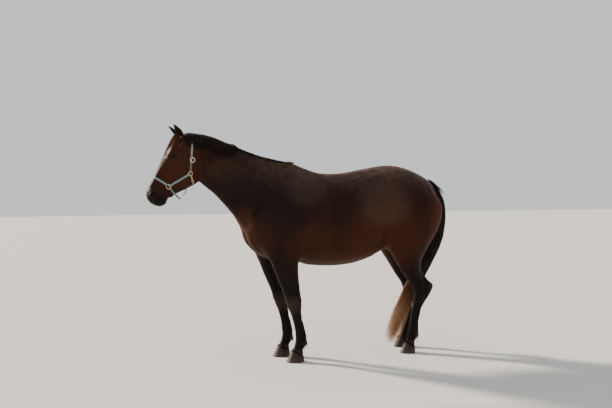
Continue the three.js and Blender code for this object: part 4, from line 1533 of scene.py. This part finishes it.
def makeTufts(name, roots, off, flat, lengths, ways, lift):
    step = (squareTo(ways, off) * lengths[:, None])[:, None] * np.array((0, 0.5, 1.0))[None, :, None]
    rise = off[:, None] * (np.array((-0.0005, 0.0, 0.0)) + lift[:, None] * np.array((0, 0.9, 0.5)))[..., None]
    paths = roots[:, None] + step + rise
    lifts = np.repeat(off[:, None], 3, axis=1)
    size = (luck.uniform(0.7, 1.3, len(roots)) * (lengths / coat["body"]) ** 0.6)[:, None] * np.ones(3)
    piece = layLocks(name, tuft, paths, lifts, size * coat["wide"], size * coat["thick"], flat, shade=off)
    piece.data.materials.append(tuftFinish)
    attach(piece, "root")


def makeTuftFinish():
    finish = Finish("bay tufts", **coatShine)
    strand = finish.attribute("strand")
    colour = bayMarkings(finish, strand, 0.16)
    colour = finish.mix(finish.rise(strand, 0.55, 1.0) * 0.08, colour, bay["dust"])
    return finish.wear(Base_Color=colour, Roughness=0.42 + strand * 0.16)


tuft = tuftPattern()
tuftFinish = makeTuftFinish()


def makeCoat():
    roots, off, flat = rootsOnSkin(coat["tufts"])
    lengths = coatLengths(roots) * luck.uniform(0.75, 1.2, len(roots))
    ways = lieOfCoat(roots) + luck.normal(0, 0.1, roots.shape)
    lift = liftOfCoat(roots) * luck.uniform(0.6, 1.3, len(roots))
    order = np.argsort(roots[:, 0])
    for start in range(0, len(roots), coat["inPiece"]):
        part = order[start:start + coat["inPiece"]]
        makeTufts(f"coat_{start // coat['inPiece'] + 1}", roots[part], off[part], flat[part], lengths[part],
                  ways[part], lift[part])


unwrapSkin()
makeCoat()


# straight thin locks from roots along ways, bending down by their droop
def makeFineHair(name, roots, ways, lengths, wide, droop, finish):
    along = np.linspace(0, 1, 5)[None, :, None]
    paths = roots[:, None] + unit(ways)[:, None] * lengths[:, None, None] * along
    paths[:, :, 2] -= (lengths * droop)[:, None] * along[:, :, 0] ** 2
    lifts = np.repeat(unit(np.cross(ways, luck.normal(0, 1, ways.shape)))[:, None], 5, axis=1)
    full = taper(5, wide, 0.1)
    piece = layLocks(name, fineHair, paths, lifts, full, full * 0.5, spreadOnMap(len(roots)))
    piece.data.materials.append(finish)
    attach(piece, "root")


fineHair = lockPattern(5)


# hair over the hooves and behind the fetlocks
feather = {
    "coronetHairs": 420, "coronetLength": (0.012, 0.023),
    "fetlockHairs": 130, "fetlockLength": (0.012, 0.03),
    "wide": (0.0006, 0.0012),
    "sink": 0.0006,         # of the roots into the skin
    "fetlockX": {"fore": 0.078, "hind": 1.066},
    "fetlockSpread": (0.006, 0.014, 0.026),
}


def makeFeetHair():
    hairs = []
    for node, end, side in feet:
        count = feather["coronetHairs"]
        turn = luck.uniform(-np.pi, np.pi, count)
        front = 0.5 + 0.5 * np.cos(turn)
        out = np.stack([-np.cos(turn), np.sin(turn), np.zeros(count)], axis=1)
        target = heartOf(node, end) + (0.006, 0, 0) + out * 0.045
        target[:, 2] += coronetAt(front) + luck.uniform(0.002, 0.018, count) + 0.006 * front
        at, off = ontoSkin(target)
        ways = off * (0.62 + 0.4 * front)[:, None] + np.array((0, 0, -1.0)) + luck.normal(0, 0.12, (count, 3))
        lengths = luck.uniform(*feather["coronetLength"], count) + 0.004 * front
        hairs.append((at - off * feather["sink"], ways, lengths))
        # behind the fetlock
        count = feather["fetlockHairs"]
        step = stepAt(end, 0.13) if side > 0 else 0
        heel = np.array(onBody(feather["fetlockX"][end] + step, side * 0.125, 0.135))
        heel = heel + luck.normal(0, 1, (count, 3)) * feather["fetlockSpread"]
        at, off = ontoSkin(heel + np.array((0.04, 0, 0)))
        ways = off * 0.16 + np.array((0.1, 0, -1.0)) + luck.normal(0, 0.07, (count, 3))
        hairs.append((at - off * feather["sink"], ways, luck.uniform(*feather["fetlockLength"], count)))
    roots, ways, lengths = (np.concatenate(kind) for kind in zip(*hairs))
    wide = luck.uniform(*feather["wide"], len(roots))
    makeFineHair("feet_hair", roots, ways, lengths, wide, 0.1, hairFinish)


earHair = {
    "inEach": 130,
    "along": (0.16, 0.66), "aside": (0.3, 0.7),     # where it grows, in shares of the ear's own measures
    "length": (0.008, 0.018), "wide": (0.0003, 0.0006),
}


def makeEarHair():
    hairs, each = [], earHair["inEach"]
    for side in (-1, 1):
        root, axis, opens = earFrame(side)
        *rest, across, back = inEar(root[None], side)
        share = luck.uniform(*earHair["along"], each)
        edge = np.where(luck.random(each) < 0.5, -1, 1) * luck.uniform(*earHair["aside"], each)
        aside = np.outer(edge * halfEar(share), across)
        at, off = ontoSkin(root + np.outer(share, axis) + aside + back * 0.004)
        ways = np.outer(-np.sign(edge) * 0.6, across) + unit(opens) * 0.4 + unit(axis) * 1.1
        hairs.append((at, ways + luck.normal(0, 0.22, (each, 3))))
    roots, ways = (np.concatenate(kind) for kind in zip(*hairs))
    lengths, wide = (luck.uniform(*earHair[size], len(roots)) for size in ("length", "wide"))
    makeFineHair("ear_hair", roots, ways, lengths, wide, 0.2, tuftFinish)


faceHair = {
    "lashes": 58, "lashesFrom": (28, 160),      # degrees round the upper lid
    "whisker": (0.02, 0.042),       # lengths
    "wide": 0.00042,
    # whiskers: where on the head, and how many
    "whiskers": [((0.575, -0.058, 0.02), 7), ((0.545, -0.076, 0.03), 7), ((0.52, -0.086, 0.03), 7),
                 ((0.585, -0.012, 0.034), 7), ((0.565, 0.004, 0.052), 7), ((0.545, -0.04, 0.05), 7),
                 ((0.19, -0.03, 0.09), 3), ((0.245, -0.01, 0.086), 3)],
}


def makeFaceHair():
    hairs = []
    for side in (-1, 1):
        middle, out, along, up = eyeSeat(side)
        count = faceHair["lashes"]
        turn = np.radians(luck.uniform(*faceHair["lashesFrom"], count))     # longest over the middle
        p = eye["half"] * np.cos(turn)
        roots = onBall(side, p, eye["upper"] * eyeBow(p) + 0.0008, 0.001)
        ways = out + np.outer(0.4 * np.cos(turn), along) - up * 0.22 + luck.normal(0, 0.1, (count, 3))
        hairs.append((roots, ways, 0.006 + 0.007 * np.sin(turn)))
        for (s, t, y), count in faceHair["whiskers"]:
            at, off = ontoSkin(np.array(onHead(s, t, y * side)) + luck.normal(0, 0.008, (count, 3)))
            ways = off + np.array((-0.15, 0, -0.35)) + luck.normal(0, 0.16, (count, 3))
            hairs.append((at, ways, luck.uniform(*faceHair["whisker"], count)))
    roots, ways, lengths = (np.concatenate(kind) for kind in zip(*hairs))
    makeFineHair("face_hair", roots, ways, lengths, np.full(len(roots), faceHair["wide"]), 0.12, hairFinish)


dock = {
    "hairs": 340,
    "head": (1.232, 0, 1.438),      # the tail's head, and as far down it as the loose hair grows
    "foot": (1.322, 0, 1.34),
    "length": (0.03, 0.075), "wide": (0.0007, 0.0013),
}


# loose short hair round the tail's head
def makeDockHair():
    count = dock["hairs"]
    share = luck.random(count)
    turn = luck.uniform(-1.9, 1.9, count)
    head, foot = np.array(onBody(*dock["head"])), np.array(onBody(*dock["foot"]))
    out = np.stack([np.cos(turn) * 0.7, np.sin(turn), np.cos(turn) * 0.72], axis=1)
    roots = np.outer(1 - share, head) + np.outer(share, foot) + out * (0.008 + 0.022 * share)[:, None]
    ways = np.array((0.66, 0, -0.62)) + out * 0.42 + luck.normal(0, 0.14, (count, 3))
    lengths, wide = (luck.uniform(*dock[size], count) for size in ("length", "wide"))
    makeFineHair("dock_hair", roots, ways, lengths, wide, 0.25, hairFinish)


chestnut = {
    "size": (0.008, 0.015, 0.0028),    # half its width, height and depth
    "inward": 0.02,
    "places": (("fore", -0.068, 0.535), ("hind", 1.092, 0.425)),
}


def makeHornFinish():
    finish = Finish("rough horn", Roughness=0.75, Specular_IOR_Level=0.15)
    grain = finish.noise(420.0, 4.0, 0.6)
    colour = finish.mix(finish.rise(grain, 0.4, 0.65), (0.0062, 0.0042, 0.0032, 1), (0.02, 0.014, 0.0105, 1))
    bump = finish.bump(grain, 0.6, 0.0012)
    return finish.wear(Base_Color=colour, Roughness=0.62 + grain * 0.25, Normal=bump)


# the horny patches on the inner sides of the legs
def makeChestnuts():
    at, off = ontoSkin([onLeg(end, side, x, side * chestnut["inward"], z)
                        for side in (-1, 1) for end, x, z in chestnut["places"]])
    bm = bmesh.new()
    for place, away in zip(at, off):
        patch = bmesh.ops.create_icosphere(bm, subdivisions=3, radius=1)["verts"]
        bmesh.ops.scale(bm, verts=patch, vec=chestnut["size"])
        turn = turnTo(np.cross((0, 0, 1), away), (0, 0, 1), away)
        bmesh.ops.rotate(bm, verts=patch, cent=(0, 0, 0), matrix=turn)
        bmesh.ops.translate(bm, verts=patch, vec=Vector(place))
    piece = pieceFrom("chestnuts", bm)
    piece.data.materials.append(makeHornFinish())
    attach(piece, "root")


makeDockHair()
makeChestnuts()
makeFeetHair()
makeEarHair()
makeFaceHair()


# webbing straps between plain rings
halter = {
    "wide": 0.017, "thick": 0.003,
    "lift": 0.0022,         # of the webbing's middle off the coat
    "sideRing": (0.427, -0.05, 0.0605, 0.0172),    # s, t, y on the head and radius
    "cheekRing": (0.268, -0.145, 0.086, 0.0155),
    "buckle": (0.171, -0.112, 0.094, 0.018),
    "wire": 0.0026, "buckleWire": 0.0032, "snapWire": 0.0017,      # half the thickness of the rings' wire
    "ringLift": 0.004, "buckleLift": 0.0058, "snapLift": 0.0062, "snapLoopLift": 0.0058,    # off the skin
    # places that the straps run to from their rings, and the hearts that they go round
    "nose": (0.404, 0.18), "noseHeart": (0.417, 0.01),
    "crown": (-0.088, 0.004), "crownHeart": (0.085, -0.07), "crownRun": 0.2,
    "throat": (0.367, -0.258), "throatHeart": (0.301, -0.183), "throatWide": 0.014,
    "softWide": 0.0165,     # width of the crown and the chin strap
    "chin": [(0.45, -0.095, -0.062), (0.462, -0.14, -0.044), (0.471, -0.176, -0.014), (0.432, -0.188, 0.016),
             (0.38, -0.204, 0.046), (0.378, -0.14, 0.064)],
    # a strap's fold round a ring: its length and thickness, its rounded edges and how far off the skin it is
    "fold": (0.0125, 0.008), "foldRound": 0.0036, "foldLift": 0.0034,
    "snapLoop": 0.0085,
    "snapLong": 0.064,      # from the middle of the cheek ring to where the throat strap hooks in
    # the snap's rods, from and to shares of its length, with their half widths across and off the skin
    "snap": [(0.0, 0.3, 0.0056, 0.0034), (0.26, 0.78, 0.0042, 0.0042), (0.74, 0.86, 0.0062, 0.005)],
}


# fades: an axis, where it begins and ends along it, and how bright the far part is
def makeWebbingFinish(name, light, dark, fades=None):
    finish = Finish(name, Roughness=0.62, Sheen_Weight=0.35, Sheen_Roughness=0.5)
    place = finish.node("UVMap", {"uv_map": "weave"}, {})
    along, across = (finish.node("SeparateXYZ", {}, {0: place}, name) for name in ("X", "Y"))
    rows = (across * 3600).wave()
    ribs = (along * 2600 + rows * 1.8).wave()
    edge = across.math("ABSOLUTE", across)
    seam = finish.rise(edge, 0.0078, 0.0082) * (1 - finish.rise(edge, 0.0088, 0.0092))
    thread = finish.rise((along * 1500).wave(), 0.4, 0.6) * seam
    worn = finish.noise(60.0, 3.0, 0.6)
    colour = finish.mix(ribs * 0.5 + worn * 0.5, dark, light)
    if fades:
        axis, low, high, bright = fades
        far = (*(bright * part for part in light[:3]), 1)
        colour = finish.mix(finish.rise(finish.axis(axis), low, high), colour, far)
    colour = finish.mix(thread * 0.7, colour, (0.56, 0.6, 0.62, 1))
    colour = finish.mix(finish.rise(worn, 0.62, 0.8) * 0.35, colour, (0.16, 0.13, 0.1, 1))
    return finish.wear(Base_Color=colour, Normal=finish.bump(ribs * rows + thread, 0.5, 0.0005))


def makeMetalFinish(name, colour, tarnish):
    finish = Finish(name, Metallic=1.0, Roughness=0.25)
    worn = finish.noise(160.0, 4.0, 0.6)
    spots = finish.rise(worn, 0.5, 0.72)
    return finish.wear(Base_Color=finish.mix(spots * 0.6, colour, tarnish), Roughness=0.2 + worn * 0.24,
                       Normal=finish.bump(worn, 0.15, 0.0004))


buckleZ = onHead(*halter["buckle"][:2]).z
webbing = makeWebbingFinish("blue webbing", (0.165, 0.232, 0.265, 1), (0.07, 0.118, 0.142, 1))
# the chin strap's far half, on the right, is five times paler: painted sunlight on it
darkBlue = makeWebbingFinish("dark blue webbing", (0.1, 0.15, 0.18, 1), (0.045, 0.08, 0.1, 1),
                             ("Y", -0.02, 0.02, 5.0))
greyWebbing = makeWebbingFinish("grey webbing", (0.235, 0.228, 0.222, 1), (0.115, 0.115, 0.115, 1),
                                ("Z", buckleZ + 0.01, buckleZ - 0.02, 0.3))
darkWebbing = makeWebbingFinish("dark webbing", (0.12, 0.118, 0.115, 1), (0.055, 0.055, 0.055, 1))
steel = makeMetalFinish("halter metal", (0.74, 0.71, 0.66, 1), (0.4, 0.34, 0.27, 1))
brass = makeMetalFinish("halter brass", (0.7, 0.52, 0.25, 1), (0.36, 0.24, 0.1, 1))


# an even walk along a path through its points
def evenly(points, count):
    run = np.concatenate([[0], np.cumsum(np.linalg.norm(np.diff(points, axis=0), axis=1))])
    marks = np.linspace(0, run[-1], count)
    return np.stack([np.interp(marks, run, points[:, axis]) for axis in range(3)], axis=1), run[-1]


# a strap's middle line over the skin from a ring to its like on the other side, in the plane of the ring,
# the end and the sideways axis. It goes straight up the side for the run, then round the heart
def overSkin(ring, end, heart, run=0.0):
    start = np.array(ring[:2])
    way = unit(np.array(end) - start)
    hits = [onSide(*(start + way * run * step / 24))[0] for step in range(24 if run else 0)]
    first = 92 if run else math.degrees(math.atan2(ring[2], (start - np.array(heart)) @ way))
    for angle in np.radians(np.linspace(first, 0, 40)):
        across = (downFace * way[0] + offFace * way[1]) * math.cos(angle) + Vector((0, -math.sin(angle), 0))
        hits.append(castToSkin(onHead(*heart), across))
    hits = np.array(hits)
    hits = hits[np.linalg.norm(hits - onSide(*ring[:2])[0], axis=1) > ring[3]]
    return np.concatenate([hits, hits[-2::-1] * (1, -1, 1)])


# webbing along a path. It lies on the skin, unless the ways that its flat side looks are given
def makeStrap(name, path, finish, flat=None, stations=90, wide=halter["wide"]):
    path, length = evenly(np.array(path), stations)
    for step in range(6):
        path[1:-1] = path[1:-1] * 0.5 + (path[:-2] + path[2:]) * 0.25
    tangent = unit(np.gradient(path, axis=0))
    away = ontoSkin(path)[1] if flat is None else flat
    for step in range(8):
        away[1:-1] = unit(away[1:-1] * 0.5 + (away[:-2] + away[2:]) * 0.25)
    aside = unit(np.cross(tangent, away))
    away = np.cross(aside, tangent)
    bm = bmesh.new()
    weave = bm.loops.layers.uv.new("weave")
    bmesh.ops.create_grid(bm, x_segments=stations - 1, y_segments=4, size=1)
    for vert in bm.verts:
        station = int(round((vert.co.x + 1) / 2 * (stations - 1)))
        share = vert.co.y
        place = path[station] + aside[station] * share * wide / 2
        if flat is None:
            near, *rest = skinTree.find_nearest(Vector(place))
            rise = max(0.0, -(Vector(place) - near).dot(Vector(away[station])))
            place = place + away[station] * (min(rise, 0.006) + halter["lift"])
        for loop in vert.link_loops:
            loop[weave].uv = (station / (stations - 1) * length, share * wide / 2)
        vert.co = place
    bmesh.ops.recalc_face_normals(bm, faces=bm.faces)
    piece = pieceFrom(name, bm)
    if np.mean([face.normal.dot(Vector(away[stations // 2])) for face in piece.data.polygons]) < 0:
        piece.data.flip_normals()
    relax = piece.modifiers.new("relax", "SMOOTH")
    relax.factor, relax.iterations = 0.5, 4
    body = piece.modifiers.new("body", "SOLIDIFY")
    body.thickness, body.offset = halter["thick"], 0
    edges = piece.modifiers.new("edges", "BEVEL")
    edges.width, edges.segments, edges.limit_method = 0.0008, 2, "ANGLE"
    settle(piece)
    smoothShade(piece.data)
    piece.data.materials.append(finish)
    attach(piece, "root")
    return piece


def makeRing(name, middle, away, radius, finish, wire=halter["wire"]):
    bm = bmesh.new()
    bmesh.ops.create_circle(bm, segments=12, radius=wire)
    setInPlace(bm, Matrix.Rotation(math.pi / 2, 3, "X"), (radius, 0, 0))
    bmesh.ops.spin(bm, geom=bm.verts[:] + bm.edges[:], cent=(0, 0, 0), axis=(0, 0, 1), angle=2 * math.pi,
                   steps=40, use_merge=True)
    bmesh.ops.recalc_face_normals(bm, faces=bm.faces)
    setInPlace(bm, facing(away), middle)
    piece = pieceFrom(name, bm)
    piece.data.materials.append(finish)
    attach(piece, "root")
    return piece


def roundEdges(bm, edges, by, segments):
    bmesh.ops.bevel(bm, geom=edges, offset=by, segments=segments, profile=0.5, affect="EDGES", material=-1)


# the fold of a strap's end round a ring
def makeFold(name, ring, toward, side, finish):
    s, t, y, radius = ring
    middle = onHead(s, t)
    way = unit(np.array(onHead(*toward) - middle))
    middle = np.array(middle) + way * radius
    seat = castToSkin((middle[0], 0.25 * side, middle[2]), (0, -side, 0))
    away = ontoSkin([seat])[1][0]
    way = squareTo(way, away)
    bm = bmesh.new()
    bmesh.ops.create_cube(bm, size=1)
    bmesh.ops.scale(bm, verts=bm.verts, vec=(halter["wide"] * 0.96, *halter["fold"]))
    across = [edge for edge in bm.edges if abs((edge.verts[0].co - edge.verts[1].co).x) > 0.01]
    roundEdges(bm, across, halter["foldRound"], 4)
    weave = bm.loops.layers.uv.new("weave")
    for face in bm.faces:
        for loop in face.loops:
            loop[weave].uv = (loop.vert.co.y + loop.vert.co.z, loop.vert.co.x)
    middle = seat + away * halter["foldLift"] + way * halter["foldRound"]
    setInPlace(bm, turnTo(np.cross(way, away), way, away), middle)
    piece = pieceFrom(name, bm)
    piece.data.materials.append(finish)
    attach(piece, "root")


# a snap hook from the cheek ring down to the throat strap
def makeSnap(ring, end, radius):
    away = ontoSkin([(ring + end) / 2])[1][0]
    way = squareTo(end - ring, away)
    bm = bmesh.new()
    length = float(np.linalg.norm(end - ring)) - radius
    for low, high, wide, thin in halter["snap"]:
        rod = bmesh.ops.create_cone(bm, cap_ends=True, segments=20, radius1=1, radius2=1, depth=1)["verts"]
        bmesh.ops.scale(bm, verts=rod, vec=(wide, thin, (high - low) * length))
        bmesh.ops.translate(bm, verts=rod, vec=(0, 0, -(low + high) / 2 * length))
    roundEdges(bm, [edge for edge in bm.edges if edge.calc_face_angle(0) > 1.0], 0.0012, 3)
    top = ring + way * (radius - 0.002) + away * halter["snapLift"]
    setInPlace(bm, turnTo(np.cross(way, away), away, -way), top)
    piece = pieceFrom("halter_snap", bm)
    piece.data.materials.append(brass)
    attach(piece, "root")
    middle = end - way * 0.002 + away * halter["snapLoopLift"]
    makeRing("halter_snap_loop", middle, away, halter["snapLoop"], brass, halter["snapWire"])


# the chin strap hangs loose below the jaw, from one side ring to the other
def makeChin(ring):
    ends = []
    for side in (-1, 1):
        seat, away = onSide(*ring[:2], side)
        down = squareTo(np.array(downFace) * 0.35 - np.array(offFace), away)
        ends.append(seat + away * 0.0045 + down * ring[3] * 0.95)
    loose = np.array([ends[0], *[tuple(onHead(*place)) for place in halter["chin"]], ends[1]])
    path, length = evenly(loose, 60)
    # its flat side looks out at its ends and down at its middle
    share = np.clip(path[:, 1:2] / 0.022, -1, 1)
    flat = unit(share * np.array((0, 1.0, 0)) - (1 - np.abs(share)) * np.array(offFace))
    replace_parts(makeStrap("halter_chin", loose, darkBlue, flat, 60, halter["softWide"]), "halter_chin_strap")


def makeHalter():
    side, cheek, buckle = halter["sideRing"], halter["cheekRing"], halter["buckle"]
    nose = overSkin(side, halter["nose"], halter["noseHeart"])
    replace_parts(makeStrap("halter_nose", nose, webbing), "halter_noseband")
    crown = overSkin(cheek, halter["crown"], halter["crownHeart"], halter["crownRun"])
    strap = makeStrap("halter_head", crown, greyWebbing, stations=150, wide=halter["softWide"])
    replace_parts(strap, "halter_crown")
    throat = overSkin(cheek, halter["throat"], halter["throatHeart"])
    ring = onSide(*cheek[:2])[0]
    throat = throat[int(np.argmax(np.linalg.norm(throat - ring, axis=1) > halter["snapLong"])):]
    strap = makeStrap("halter_throat", throat, darkWebbing, wide=halter["throatWide"])
    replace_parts(strap, "halter_throat_strap")
    makeSnap(ring, throat[0], cheek[3])
    names = {-1: "left", 1: "right"}
    for sign, end in names.items():
        shares = np.linspace(0, 1, 30)
        places = np.outer(1 - shares, side[:2]) + np.outer(shares, cheek[:2])
        hits = [onSide(*place, sign)[0] for place in places]
        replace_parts(makeStrap("halter_cheek_" + end, hits, webbing, stations=50), "halter_cheek_strap_" + end)
    makeChin(side)
    folds = [("nose", side, halter["nose"], webbing), ("low", side, cheek[:2], webbing),
             ("up", cheek, side[:2], webbing), ("top", cheek, buckle[:2], greyWebbing),
             ("under", cheek, halter["throat"], greyWebbing)]
    for sign, end in names.items():
        for label, ring in (("side", side), ("cheek", cheek)):
            seat, away = onSide(*ring[:2], sign)
            middle = seat + away * halter["ringLift"]
            loop = makeRing("halter_" + label + "_loop_" + end, middle, away, ring[3], brass)
            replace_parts(loop, "halter_" + label + "_ring_" + end)
        for label, ring, toward, finish in folds:
            makeFold("halter_fold_" + label + "_" + end, ring, toward, sign, finish)
    seat, away = onSide(*buckle[:2])
    middle = seat + away * halter["buckleLift"]
    ring = makeRing("halter_buckle", middle, away, buckle[3], steel, halter["buckleWire"])
    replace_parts(ring, "halter_buckle_ring_left")
    print("halter ready")


makeHalter()


studio = {
    "floorSize": 60.0,
    "floorColour": (0.58, 0.57, 0.55, 1),
    "worldColour": (0.97, 0.98, 1.0, 1),
    "worldLight": 0.85,
    "fill": {"energy": 60, "color": (1.0, 0.95, 0.9), "shape": "RECTANGLE", "size": 5.0, "size_y": 3.0},
    "fillAt": (-2.5, -6.0, 3.5),
    "fillFrom": (-2.5, -6.0, 2.5),
    "sun": {"energy": 9.0, "color": (1, 0.88, 0.72), "angle": math.radians(7)},
    "sunFrom": (-0.58, 0.63, 0.45),
}


def makeLight(name, kind, values, comesFrom, at=(0, 0, 0)):
    data = bpy.data.lights.new(name, kind)
    for key, value in values.items():
        setattr(data, key, value)
    lamp = bpy.data.objects.new(name, data)
    lamp.location = at
    lamp.rotation_euler = (-Vector(comesFrom)).to_track_quat("-Z", "Y").to_euler()
    scene.collection.objects.link(lamp)


def makeStudio():
    bm = bmesh.new()
    bmesh.ops.create_grid(bm, x_segments=1, y_segments=1, size=studio["floorSize"] / 2)
    floor = pieceFrom("floor", bm, smooth=False)
    paint = bpy.data.materials.new("floor")
    paint.use_nodes = True
    shader = paint.node_tree.nodes["Principled BSDF"]
    shader.inputs["Base Color"].default_value = studio["floorColour"]
    shader.inputs["Roughness"].default_value = 0.9
    floor.data.materials.append(paint)
    world = bpy.data.worlds.new("studio")
    world.use_nodes = True
    world.node_tree.nodes["Background"].inputs["Color"].default_value = studio["worldColour"]
    world.node_tree.nodes["Background"].inputs["Strength"].default_value = studio["worldLight"]
    scene.world = world
    makeLight("fill", "AREA", studio["fill"], studio["fillFrom"], studio["fillAt"])
    makeLight("low sun", "SUN", studio["sun"], studio["sunFrom"])
    print("studio ready")


makeStudio()
